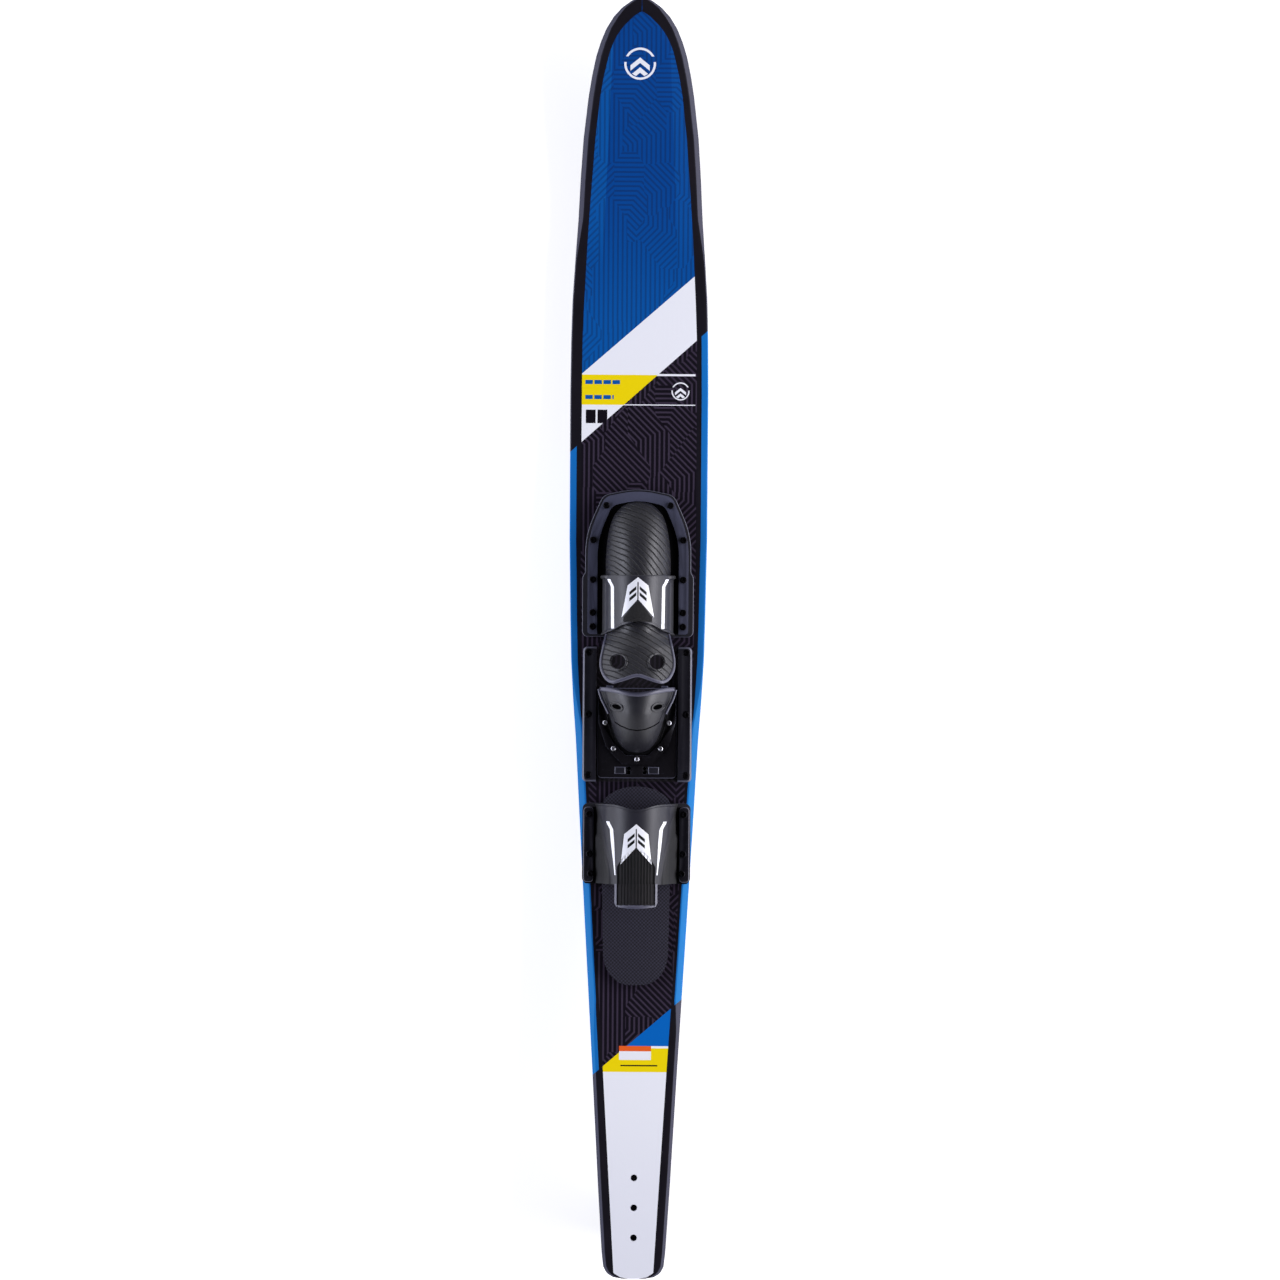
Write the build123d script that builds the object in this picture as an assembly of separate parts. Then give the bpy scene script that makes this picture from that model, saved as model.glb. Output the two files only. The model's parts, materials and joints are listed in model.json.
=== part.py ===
"""Combo slalom water ski with an adjustable front binding and a rear toe plate.

The ski is drawn level, in its own axes: X to the right, Y towards the nose, Z up from the flat deck.
At the end every piece is turned and lifted together, so that the ski stands as it does on a floor:
on the bottom edge of its fin and on the underside of its forebody.
"""
from build123d import *
from math import atan, cos, degrees, radians, sin, sqrt
import os

# ---------------------------------------------------------------- ski: driving dimensions, mm
NOSE_Y = 850.0            # nose tip, and the tail end at minus this
MAX_HALF_WIDTH = 91.8
DECK_FLAT = (-480.0, 300.0)   # the deck and base are flat between these
CORE_DEPTH = 24.0         # thickness of the ski over the flat
NOSE_RISE = 62.0          # deck at the nose tip above the flat deck
NOSE_DEPTH = 9.0
TAIL_RISE = 8.0
TAIL_DEPTH = 11.0
SKIN = 1.8                # deck and base shells
EDGE_BEVEL = 4.5
TUNNEL_HALF = 58.0        # concave tunnel under the ski
TUNNEL_DEPTH = 3.0
OUTLINE = [(34.0, 829.0), (60.5, 771.0), (76.5, 665.0), (84.5, 532.0), (91.0, 400.0),
           (MAX_HALF_WIDTH, 240.0), (88.5, -26.0), (81.1, -133.0), (66.5, -399.0),
           (52.5, -638.0), (43.0, -800.0)]
TAIL_CORNER = (41.0, -832.0)

# fin and its screws
FIN_Y = -755.0
FIN_SCREW_PITCH = 39.8
FIN_HALF_LENGTH = 72.0
FIN_THICK = 3.2
FIN_FLANGE_HALF = 12.0
FIN_FLANGE_DROP = 26.0    # underside of the flange below the deck datum
FIN_TIP = (-775.0, -72.0)  # middle of the fin's bottom edge: Y, Z
FIN_EDGE_HALF = 34.0
FIN_SEAT = -1.0           # floor of each screw's recess in the deck
FIN_RECESS_R = 4.5
FIN_HEAD_R = 3.9
FIN_SCREW_LENGTH = 22.0
FIN_NUT = (-24.0, -18.0)
FIN_FLANGE_R = 9.0

# fasteners
SCREW_R = 2.0
CLEAR_R = 2.3
HEAD_R = 4.5
HEAD_H = 2.6
CLAMP_SCREW_LENGTH = 22.0
RAIL_SCREW_LENGTH = 24.0
REAR_SCREW_LENGTH = 20.0
INSERT_R = 3.8
INSERT_DEPTH = 13.0
THREAD_R = 2.05

# ---------------------------------------------------------------- front binding
PLATE_T = 4.0
FLANGE_T = 2.0
CLAMP_T = 4.0
CLAMP_W = 13.0
CLAMP_SHOULDER_R = 55.0
CLAMP_CORNER_R = 16.0
CLAMP_END_R = 6.0
CLAMP_OUTER = [(67.0, 7.5), (67.0, 140.0), (44.0, 190.5), (0.0, 199.2)]
FRONT_SCREWS = [(42.8, 178.6), (60.3, 132.7), (60.3, 80.0), (60.3, 36.2), (60.3, 17.5)]
FRONT_PLATE = [(72.0, 4.0), (74.0, 10.0), (74.0, 84.0), (70.8, 90.0), (70.8, 150.0), (47.0, 196.0)]
FRONT_PLATE_TOP = 202.4
WALL = 4.0                # rubber wall of the toe shell and straps
GAP = 0.4                 # air between neighbouring soft pieces
# toe shell sections: Y, half width, height above the base plate
TOE = [(180.0, 20.0, 12.0), (164.0, 33.0, 30.0), (140.0, 40.0, 44.0), (110.0, 43.0, 54.0),
       (80.0, 43.0, 62.0), (40.0, 43.0, 70.0), (6.0, 43.0, 76.0)]
FLANGE_IN = 46.0          # the flange's legs start here beside the foot
TOE_FLANGE_REAR = 14.0
STRAP_FRONT = 86.0
STRAP_REAR_MID = 25.5
STRAP_REAR_SIDE = 6.0
STRAP_T = 4.0
# tongue sections: Y, half width, crown height, side drop
TONGUE = [(4.0, 42.0, 88.0, 33.0), (-26.0, 50.0, 103.0, 36.0), (-60.0, 52.0, 119.0, 34.0)]
TONGUE_T = 4.0
FINGER_HOLE = (25.2, -28.9)
FINGER_HOLE_R = 9.2
FOOTBED_T = 5.0

# ---------------------------------------------------------------- adjustable heel
TRACK_FRONT = -9.0
TRACK_REAR = -188.5
TRACK_T = 3.0
RAIL_OUT = 72.6
RAIL_IN = 54.3
RAIL_TOP = 14.0
RAIL_SINK = 2.0           # depth of the screw heads' seats
GROOVE = (58.8, 5.0, 9.0)  # reach in X, floor, roof
RAIL_SCREWS = [(65.0, -16.5), (65.0, -98.8), (65.0, -179.7)]
CARRIAGE_FRONT = -63.8
CARRIAGE_REAR = -183.7
CARRIAGE_HALF = 52.7
CARRIAGE_Z = (3.4, 12.0)
RUN_GAP = 0.4
RACK_X = (35.6, 41.6)
RACK_TOP = 6.4
RACK_Y = (-186.0, -112.0)
RACK_PITCH = 6.0
RACK_TOOTH = 2.4
WINDOW_X = (8.2, 30.0)
WINDOW_Y = (-178.4, -168.2)
LOCK_TRAVEL = 5.0
LOCK_X = (12.4, 33.0)
LOCK_HALF_Y = 6.6
LOCK_Z = (3.8, 9.5)
LOCK_PAD_X = (15.2, 29.4)
LOCK_PAD_TOP = 12.6
SPRING_Z = 6.6
SPRING_R = 1.3
SPRING_WIRE = 0.3
SPRING_BORE = 2.0
WEB_HALF = 5.4            # centre web of the carriage, where the springs push
HEEL_CLAMP_T = 3.0
# heel cup sections: Y, half width, height above the carriage flange
HEEL = [(-66.0, 49.0, 74.0), (-90.0, 45.0, 70.0), (-114.0, 36.5, 56.0), (-134.0, 25.0, 34.0),
        (-148.0, 12.0, 11.0)]
HEEL_SCREWS = [(42.4, -110.0), (31.3, -144.4)]
HEEL_SCREW_MID = (0.0, -158.3)
HEEL_SCREW_LENGTH = 9.0
HEEL_HEAD_R = 3.2
HEEL_BORE_R = 2.1
HEEL_FOOTBED_T = 4.0
FLAP_CUT_Z = 44.0
FLAP_SIDE = (39.0, -98.0)
FLAP_REAR = -119.0
EYE_HOLE = (27.3, -88.4)

# ---------------------------------------------------------------- rear toe plate
REAR_PLATE = (71.9, -324.0, -217.0)
REAR_PLATE_T = 3.0
PAD_T = 8.0
PAD = [(0.0, -194.2), (30.0, -200.0), (45.5, -215.0), (45.0, -300.0), (43.0, -425.0), (24.0, -452.0),
       (0.0, -459.0)]
REAR_BAR_X = (57.0, 70.4)
REAR_BAR_T = 4.0
REAR_SCREWS = [(63.2, -231.7), (62.1, -284.4), (60.7, -310.7)]
REAR = [(-217.6, 46.0, 58.0), (-270.0, 47.0, 64.0), (-324.0, 45.0, 70.0)]
TAB = (25.7, -352.0, -328.0)



# ---------------------------------------------------------------- helpers
def prism(points, low, high):
    """A polygon in plan, extruded between two heights."""
    face = make_face(Polyline(*points, close=True))
    return extrude(Pos(0, 0, low) * face, high - low, dir=(0, 0, 1))


def both_sides(points):
    """A closed outline from its right-hand points, listed from one end to the other."""
    left = [(-x, y) for x, y in reversed(points) if abs(x) > 1e-6]
    return list(points) + left


def mirrored(points):
    """Hole or screw places on the right, and the same on the left."""
    return [(x, y) for x, y in points] + [(-x, y) for x, y in points]


def block(x, y, z):
    """A box between two values of each coordinate."""
    return Pos((x[0] + x[1]) / 2, (y[0] + y[1]) / 2, (z[0] + z[1]) / 2) * Box(
        x[1] - x[0], y[1] - y[0], z[1] - z[0])


def posts(places, radius, low, high):
    """One upright cylinder at each place."""
    rod = Cylinder(radius, high - low)
    return [Pos(x, y, (low + high) / 2) * rod for x, y in places]


def screws(places, seat, length, head_r=HEAD_R):
    """Pan-head screws with a cross recess, whose heads sit on the seat height."""
    shank = Pos(0, 0, -length / 2) * Cylinder(SCREW_R, length)
    head = Pos(0, 0, HEAD_H / 2) * Cylinder(head_r, HEAD_H)
    head = chamfer(head.edges().group_by(Axis.Z)[-1], 0.7)
    slot = Box(1.0, head_r * 1.1, 2.4)
    one = shank + head - Pos(0, 0, HEAD_H) * (slot + Rot(0, 0, 90) * slot)
    return Compound(children=[Pos(x, y, seat) * one for x, y in places])


def inserts(places, top):
    """Threaded brass sleeves below a surface."""
    one = Pos(0, 0, -INSERT_DEPTH / 2) * (Cylinder(INSERT_R, INSERT_DEPTH) - Cylinder(THREAD_R, INSERT_DEPTH))
    return Compound(children=[Pos(x, y, top) * one for x, y in places])


def arch(stations, base, shrink=0.0, ends=(0.0, 0.0)):
    """A solid dome lofted through half ellipses; shrink gives its inner surface."""
    sections = []
    last = len(stations) - 1
    for index, (y, half, height) in enumerate(stations):
        if index == 0:
            y += ends[0]
        if index == last:
            y += ends[1]
        plane = Plane(origin=(0, y, base), x_dir=(1, 0, 0), z_dir=(0, -1, 0))
        curve = EllipticalCenterArc((0, 0), half - shrink, height - shrink, 0, arc_size=180)
        section = make_face([curve, Line(curve @ 1, curve @ 0)])
        sections.append(plane * section)
    return loft(sections)


# ---------------------------------------------------------------- ski body
def outline(inset, low, high):
    """The ski's plan shape as a tall solid, set in by a small amount all round."""
    right = [(x - inset, y) for x, y in OUTLINE]
    corner = (TAIL_CORNER[0] - inset, TAIL_CORNER[1])
    end = (26.0 - inset, -NOSE_Y + 1.0 + inset)
    nose = ThreePointArc((0, NOSE_Y - inset), (20.0 - inset * 0.6, 841.0 - inset * 0.7), right[0])
    side = Spline(*right, corner)
    turn = ThreePointArc(corner, (37.0 - inset * 0.8, -844.0 + inset * 0.7), end)
    close = Line(end, (0, -NOSE_Y + 1.0 + inset))
    half = [nose, side, turn, close]
    other = [mirror(edge, about=Plane.YZ) for edge in half]
    face = make_face(half + other)
    return extrude(Pos(0, 0, low) * face, high - low, dir=(0, 0, 1))


def profile(top, bottom):
    """The ski's side view, extruded across; each of top and bottom is (flat, nose, tail) heights."""
    rear, front = DECK_FLAT
    reach = NOSE_Y + 4

    def curve(heights):
        flat, nose, tail = heights
        middle_nose = (front + reach) / 2
        middle_tail = (rear - reach) / 2
        return [Bezier((-reach, tail), (middle_tail, flat), (rear, flat)),
                Line((rear, flat), (front, flat)),
                Bezier((front, flat), (middle_nose, flat), (reach, nose))]

    upper = curve(top)
    lower = curve(bottom)
    ends = [Line(upper[0] @ 0, lower[0] @ 0), Line(upper[2] @ 1, lower[2] @ 1)]
    face = make_face(upper + lower + ends)
    plane = Plane(origin=(-120, 0, 0), x_dir=(0, 1, 0), z_dir=(1, 0, 0))
    return extrude(plane * face, 240)


DECK = (0.0, NOSE_RISE, TAIL_RISE)
BASE = (-CORE_DEPTH, NOSE_RISE - NOSE_DEPTH, TAIL_RISE - TAIL_DEPTH)


def shifted(heights, amount):
    """A profile line moved up or down."""
    return tuple(value + amount for value in heights)


def bevelled(body, size):
    """The body with a bevel along the deck's edge."""
    top_faces = [f for f in body.faces() if f.normal_at().Z > 0.8]
    edges = ShapeList()
    for face in top_faces:
        edges += face.edges()
    rim = [e for e in edges if sum(e.is_same(other) for other in edges) == 1]
    return chamfer(rim, size)


def tunnel(extra):
    """The concave channel under the ski, grown by the skin for the core's share."""
    radius = (TUNNEL_HALF ** 2 + TUNNEL_DEPTH ** 2) / (2 * TUNNEL_DEPTH)
    centre = -CORE_DEPTH + TUNNEL_DEPTH - radius
    rod = Rot(90, 0, 0) * Cylinder(radius + extra, 2 * NOSE_Y + 20)
    return Pos(0, 0, centre) * rod


def ski_layers():
    """The deck shell, the foam core and the base shell."""
    blank = outline(0, -60, 100) & profile(DECK, BASE)
    blank = bevelled(blank, EDGE_BEVEL)
    heart = outline(SKIN, -60, 100) & profile(shifted(DECK, -SKIN), shifted(BASE, SKIN))
    heart = bevelled(heart, EDGE_BEVEL - 0.6)
    blank -= tunnel(0)
    heart -= tunnel(SKIN)
    part_line = (-CORE_DEPTH / 2, NOSE_RISE - NOSE_DEPTH / 2, TAIL_RISE - TAIL_DEPTH / 2)
    upper = profile(shifted(DECK, 30), part_line)
    skin = blank - heart
    return {"deck_shell": skin & upper, "foam_core": heart, "base_shell": skin - upper}


# ---------------------------------------------------------------- how it stands
def standing_line():
    """The straight floor line under the level ski: the fin's bottom edge and a tangent to the nose curve.

    Gives the line's slope and its height at the fin's middle.
    """
    run = NOSE_Y + 4 - DECK_FLAT[1]
    rise = BASE[1] - BASE[0]
    half_gap = (DECK_FLAT[1] - FIN_TIP[0]) / run
    share = sqrt(half_gap ** 2 - (CORE_DEPTH + FIN_TIP[1]) / rise) - half_gap
    return 2 * rise * share / run, FIN_TIP[1]


SLOPE, FIN_BOTTOM = standing_line()
PITCH = atan(SLOPE)


# ---------------------------------------------------------------- fin
def fin():
    """A moulded fin: a flange against the ski's underside and a swept blade."""
    low = [(y, FIN_BOTTOM + SLOPE * (y - FIN_TIP[0]))
           for y in (FIN_TIP[0] - FIN_EDGE_HALF, FIN_TIP[0] + FIN_EDGE_HALF)]
    side = [(FIN_Y - 62, 0), low[0], low[1], (FIN_Y + 66, -FIN_FLANGE_DROP), (FIN_Y + 66, 0)]
    blade_face = make_face(Polyline(*side, close=True))
    plane = Plane(origin=(-FIN_THICK / 2, 0, 0), x_dir=(0, 1, 0), z_dir=(1, 0, 0))
    blade = extrude(plane * blade_face, FIN_THICK)
    flange = block((-FIN_FLANGE_HALF, FIN_FLANGE_HALF),
                   (FIN_Y - FIN_HALF_LENGTH, FIN_Y + FIN_HALF_LENGTH), (-FIN_FLANGE_DROP, 0))
    flange = fillet(flange.edges().filter_by(Axis.Z), FIN_FLANGE_R)
    body = flange + blade
    body -= outline(-5, -60, 100) & profile(shifted(DECK, 30), BASE)
    return body


def fin_screw_places():
    """The three screw centres on the tail's centreline."""
    return [(0, FIN_Y + step * FIN_SCREW_PITCH) for step in (-1, 0, 1)]


def fin_parts():
    """The fin with its bores, its nuts and its screws."""
    places = fin_screw_places()
    body = fin() - posts(places, CLEAR_R, FIN_NUT[0] - 1, 0) - posts(places, INSERT_R, *FIN_NUT)
    nut = Cylinder(INSERT_R, FIN_NUT[1] - FIN_NUT[0]) - Cylinder(THREAD_R, 10)
    middle = (FIN_NUT[0] + FIN_NUT[1]) / 2
    nuts = Compound(children=[Pos(x, y, middle) * nut for x, y in places])
    bolts = screws(places, FIN_SEAT, FIN_SCREW_LENGTH, FIN_HEAD_R)
    return {"fin": body, "fin_nuts": nuts, "fin_screws": bolts}


# ---------------------------------------------------------------- front binding
def clamp_outline(points, grow=0.0):
    """The rounded horseshoe shape, filled."""
    grown = [(x + grow, y) for x, y in points[:-1]] + [(0, points[-1][1] + grow)]
    face = make_face(Polyline(*both_sides(grown), close=True))
    corners = face.vertices().sort_by(Axis.Y)
    face = fillet(corners[2:4], CLAMP_SHOULDER_R)
    return fillet(face.vertices().sort_by(Axis.Y)[-3:-1], CLAMP_CORNER_R)


def horseshoe(low, high):
    """The open ring that clamps the toe shell's flange."""
    outer = clamp_outline(CLAMP_OUTER)
    inner = offset(outer, -CLAMP_W)
    ring = extrude(Pos(0, 0, low) * outer, high - low, dir=(0, 0, 1))
    ring -= extrude(Pos(0, 0, low - 1) * inner, high - low + 2, dir=(0, 0, 1))
    half = CLAMP_OUTER[0][0] - CLAMP_W
    ring -= block((-half, half), (0, 60), (low - 1, high + 1))
    ends = ring.edges().filter_by(Axis.Z).group_by(Axis.Y)[0]
    return fillet(ends, CLAMP_END_R)


def front_plate():
    """The plastic plate under the front binding."""
    points = both_sides(FRONT_PLATE + [(0, FRONT_PLATE_TOP)])
    face = make_face(Polyline(*points, close=True))
    face = fillet(face.vertices().sort_by(Axis.Y)[-3:-1], 14)
    return extrude(face, PLATE_T, dir=(0, 0, 1))


def toe_shell():
    """The rubber toe dome and its flange."""
    base = PLATE_T
    outer = arch(TOE, base)
    inner = arch(TOE, base, WALL, (-WALL, -10))
    face = clamp_outline(CLAMP_OUTER, -1.5)
    flange = extrude(Pos(0, 0, base) * face, FLANGE_T, dir=(0, 0, 1))
    flange -= block((-FLANGE_IN, FLANGE_IN), (0, TOE_FLANGE_REAR), (0, 20))
    return outer + flange - inner


def strap_region():
    """The instep strap's plan shape, as a tall solid."""
    rear = [(48.4, STRAP_REAR_SIDE), (36, 11.3), (18, 20.5), (0, STRAP_REAR_MID)]
    points = both_sides([(48.4, STRAP_FRONT)] + rear)
    return prism(points, PLATE_T + FLANGE_T + 0.3, 140)


def instep_strap():
    """The stiff saddle over the instep, just outside the toe shell."""
    grown = [(y, half + GAP + STRAP_T, height + GAP + STRAP_T) for y, half, height in TOE]
    outer = arch(grown, PLATE_T, 0, (0, -8))
    inner = arch(grown, PLATE_T, STRAP_T, (-4, -12))
    return (outer - inner) & strap_region()


def tongue_section(y, half, crown, drop):
    """A curved strip across the foot, as a face."""
    plane = Plane(origin=(0, y, 0), x_dir=(1, 0, 0), z_dir=(0, -1, 0))
    upper = ThreePointArc((-half, crown - drop), (0, crown), (half, crown - drop))
    under = ThreePointArc((half, crown - drop - TONGUE_T), (0, crown - TONGUE_T),
                          (-half, crown - drop - TONGUE_T))
    return plane * make_face([upper, Line(upper @ 1, under @ 0), under, Line(under @ 1, upper @ 0)])


def instep_tongue():
    """The curved tongue above the strap with its two finger holes."""
    sheet = loft([tongue_section(*station) for station in TONGUE])
    plan = both_sides([(41, 3.6), (45, -8), (49, -28), (48, -40), (42, -52), (34, -57), (22, -54),
                       (0, -47)])
    sheet &= prism(plan, 0, 160)
    return sheet - posts(mirrored([FINGER_HOLE]), FINGER_HOLE_R, 0, 160)


def front_parts():
    """Everything screwed to the deck under the front foot."""
    places = mirrored(FRONT_SCREWS)
    flange_top = PLATE_T + FLANGE_T
    clamp_top = flange_top + CLAMP_T
    holes = posts(places, CLEAR_R, -1, clamp_top + 1)
    bed = make_face(Polyline(*both_sides([(36, -8), (36, 120), (30, 150), (14, 168)]), close=True))
    bed = fillet(bed.vertices().sort_by(Axis.Y)[-2:], 10)
    strap_gap = arch([(y, half + GAP, height + GAP) for y, half, height in TOE], PLATE_T, 0, (6, -10))
    clamp = horseshoe(flange_top, clamp_top)
    return {
        "front_base_plate": front_plate() - holes,
        "toe_shell": toe_shell() - holes,
        "horseshoe_clamp": clamp - holes - strap_gap,
        "instep_strap": instep_strap(),
        "instep_tongue": instep_tongue(),
        "front_footbed": extrude(Pos(0, 0, PLATE_T) * bed, FOOTBED_T, dir=(0, 0, 1)),
        "front_clamp_screws": screws(places, clamp_top, CLAMP_SCREW_LENGTH),
    }


# ---------------------------------------------------------------- adjustable heel
def track_plate():
    """The plate between ski and rails."""
    plate = block((-RAIL_OUT, RAIL_OUT), (TRACK_REAR, TRACK_FRONT), (0, TRACK_T))
    return fillet(plate.edges().filter_by(Axis.Z), 8) - posts(mirrored(RAIL_SCREWS), CLEAR_R, -1, 10)


def rack(side):
    """One toothed strip, its teeth facing the centreline."""
    inner, outer = RACK_X
    low, high = RACK_Y
    root = inner + RACK_TOOTH
    points = [(outer, low), (outer, high)]
    y = high
    while y - RACK_PITCH > low:
        points += [(root, y), (root, y - 0.6), (inner, y - RACK_PITCH / 2 + 0.4),
                   (inner, y - RACK_PITCH / 2 - 0.4), (root, y - RACK_PITCH + 0.6)]
        y -= RACK_PITCH
    points += [(root, low)]
    return prism([(side * x, y) for x, y in points], TRACK_T, RACK_TOP)


def rail(side):
    """A side rail with a groove for the carriage's edge."""
    reach, floor, roof = GROOVE
    body = block((RAIL_IN, RAIL_OUT), (TRACK_REAR, TRACK_FRONT), (TRACK_T, RAIL_TOP))
    body = fillet(body.edges().filter_by(Axis.Z).group_by(Axis.X)[-1], 6)
    body = fillet(body.edges().group_by(Axis.Z)[-1].sort_by(Axis.X)[-1:], 4)
    body -= block((RAIL_IN - 1, reach), (TRACK_REAR + 4, TRACK_FRONT + 1), (floor, roof))
    body -= posts(RAIL_SCREWS, CLEAR_R, -1, 20) + posts(RAIL_SCREWS, HEAD_R + 0.5, RAIL_TOP - RAIL_SINK, 20)
    return body if side > 0 else mirror(body, about=Plane.YZ)


def carriage():
    """The sliding heel carriage, hollow underneath for the racks and locks."""
    low, high = CARRIAGE_Z
    reach, floor, roof = GROOVE
    body = block((-CARRIAGE_HALF, CARRIAGE_HALF), (CARRIAGE_REAR, CARRIAGE_FRONT), (low, high))
    body = fillet(body.edges().filter_by(Axis.Z), 6)
    body = chamfer(body.faces().sort_by(Axis.Z)[-1].edges(), 1.0)
    wing = (reach - RUN_GAP, floor + RUN_GAP, roof - RUN_GAP)
    body += block((-wing[0], wing[0]), (CARRIAGE_REAR + 1, CARRIAGE_FRONT - 4), wing[1:])
    rack_tunnel = block((RACK_X[0] - 1.2, RACK_X[1] + 0.8), (CARRIAGE_REAR - 1, CARRIAGE_FRONT + 1),
                        (low - 1, RACK_TOP + RUN_GAP))
    lock_y = (sum(WINDOW_Y) / 2 - LOCK_HALF_Y - RUN_GAP, sum(WINDOW_Y) / 2 + LOCK_HALF_Y + RUN_GAP)
    lock_room = block((WEB_HALF, RACK_X[0]), lock_y, (low - 1, LOCK_Z[1] + RUN_GAP))
    window = block(WINDOW_X, WINDOW_Y, (low, high + 1))
    for cut in (rack_tunnel, lock_room, window):
        body -= cut
        body -= mirror(cut, about=Plane.YZ)
    return body


def lock(side):
    """A squeeze button: slider, thumb pad and three teeth, with a bore for its spring."""
    middle = sum(WINDOW_Y) / 2
    near, far = LOCK_X
    body = block(LOCK_X, (middle - LOCK_HALF_Y, middle + LOCK_HALF_Y), LOCK_Z)
    pad = block(LOCK_PAD_X, (WINDOW_Y[0] + 0.5, WINDOW_Y[1] - 0.5), (LOCK_Z[1] - 0.5, LOCK_PAD_TOP))
    body += chamfer(pad.edges().group_by(Axis.Z)[-1], 0.8)
    tip = RACK_X[0] - RUN_GAP
    for step in (-1, 0, 1):
        y = middle + step * RACK_PITCH * 0.7
        body += prism([(far - 0.5, y - 1.6), (tip, y), (far - 0.5, y + 1.6)], LOCK_Z[0], RACK_TOP)
    depth = far - near - 6
    body -= Pos(near + depth / 2, middle, SPRING_Z) * Rot(0, 90, 0) * Cylinder(SPRING_BORE, depth)
    return body if side > 0 else mirror(body, about=Plane.YZ)


def lock_spring(side):
    """The coil spring that pushes a lock outwards from the carriage's web."""
    start = WEB_HALF + 0.4
    length = LOCK_X[1] - 6 - start - 0.8
    path = Helix(length / 8, length, SPRING_R)
    profile_face = Plane(origin=path @ 0, z_dir=path % 0) * Circle(SPRING_WIRE)
    coil = sweep(profile_face, path)
    coil = Pos(start + 0.2, sum(WINDOW_Y) / 2, SPRING_Z) * Rot(0, 90, 0) * coil
    return coil if side > 0 else mirror(coil, about=Plane.YZ)


def heel_shell():
    """The whole rubber heel hood, before its flap is split off."""
    base = CARRIAGE_Z[1] + 0.4
    return arch(HEEL, base) - arch(HEEL, base, WALL, (10, WALL))


def flap_region(grow):
    """The part of the hood that folds back: above the curved seam."""
    side_x, side_y = FLAP_SIDE
    points = both_sides([(60, -50), (56 + grow, -70), (side_x + 6 + grow, side_y + 8 - grow),
                         (side_x + grow * 0.5, side_y - grow), (22, -112.5 - grow),
                         (0, FLAP_REAR - grow)])
    return prism(points, FLAP_CUT_Z - grow, 160)


def heel_flap():
    """The upper flap with two slanted eye-shaped holes."""
    flap = heel_shell() & flap_region(0)
    eye = extrude(Pos(0, 0, 20) * Ellipse(6.2, 3.2), 120)
    x, y = EYE_HOLE
    for side in (1, -1):
        flap -= Pos(side * x, y, 0) * Rot(0, 0, side * 16) * eye
    return flap


def heel_foot_outline(grow):
    """The U-shaped foot of the heel cup in plan, filled."""
    points = [(47 + grow, -70), (46 + grow, -96), (40 + grow, -116), (28 + grow * 0.9, -136),
              (13 + grow * 0.5, -149 - grow)]
    face = make_face(Polyline(*both_sides(points), close=True))
    return fillet(face.vertices().sort_by(Axis.Y)[:2], 6)


def heel_cup():
    """The fixed lower part of the heel and its clamped flange."""
    base = CARRIAGE_Z[1] + 0.4
    cup = heel_shell() - flap_region(GAP)
    cup = Compound(cup.solids().sort_by(SortBy.VOLUME)[-1:])
    flange = extrude(Pos(0, 0, CARRIAGE_Z[1]) * heel_foot_outline(4), FLANGE_T, dir=(0, 0, 1))
    flange -= arch(HEEL, base - 1, WALL, (10, WALL))
    flange -= block((-40, 40), (-100, -60), (CARRIAGE_Z[1] - 1, CARRIAGE_Z[1] + 5))
    return flange + cup


def heel_clamp():
    """The U-shaped plate that holds the heel cup down."""
    seat = CARRIAGE_Z[1]
    face = make_face(Polyline(*both_sides([(51, -71), (51, -110), (41, -142), (20, -165)]), close=True))
    plate = extrude(Pos(0, 0, seat) * face, HEEL_CLAMP_T, dir=(0, 0, 1))
    plate -= extrude(Pos(0, 0, seat - 1) * heel_foot_outline(4.4), HEEL_CLAMP_T + 2, dir=(0, 0, 1))
    return plate


def heel_parts():
    """Everything that slides, and what it slides on."""
    places = mirrored(HEEL_SCREWS) + [HEEL_SCREW_MID]
    seat = CARRIAGE_Z[1] + HEEL_CLAMP_T
    holes = posts(places, HEEL_BORE_R, seat - HEEL_SCREW_LENGTH - 0.3, seat + 1)
    bed = make_face(Polyline(*both_sides([(34, -66), (34, -108), (24, -128), (10, -136)]), close=True))
    bed = fillet(bed.vertices().sort_by(Axis.Y)[:2], 7)
    bumper = Pos(36.5, -62.3, 9) * Box(9, 3, 4)
    bumper = fillet(bumper.edges().filter_by(Axis.Y), 1.5)
    return {
        "track_plate": track_plate(),
        "rack_strips": Compound(children=[rack(1), rack(-1)]),
        "right_rail": rail(1),
        "left_rail": rail(-1),
        "rail_screws": screws(mirrored(RAIL_SCREWS), RAIL_TOP - RAIL_SINK, RAIL_SCREW_LENGTH),
        "heel_carriage": carriage() - holes,
        "right_lock": lock(1),
        "left_lock": lock(-1),
        "right_lock_spring": lock_spring(1),
        "left_lock_spring": lock_spring(-1),
        "heel_footbed": extrude(Pos(0, 0, CARRIAGE_Z[1]) * bed, HEEL_FOOTBED_T, dir=(0, 0, 1)),
        "heel_cup": heel_cup() - holes,
        "heel_flap": heel_flap(),
        "heel_clamp": heel_clamp() - holes,
        "heel_screws": screws(places, seat, HEEL_SCREW_LENGTH, HEEL_HEAD_R),
        "carriage_bumpers": Compound(children=[bumper, mirror(bumper, about=Plane.YZ)]),
    }


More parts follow.
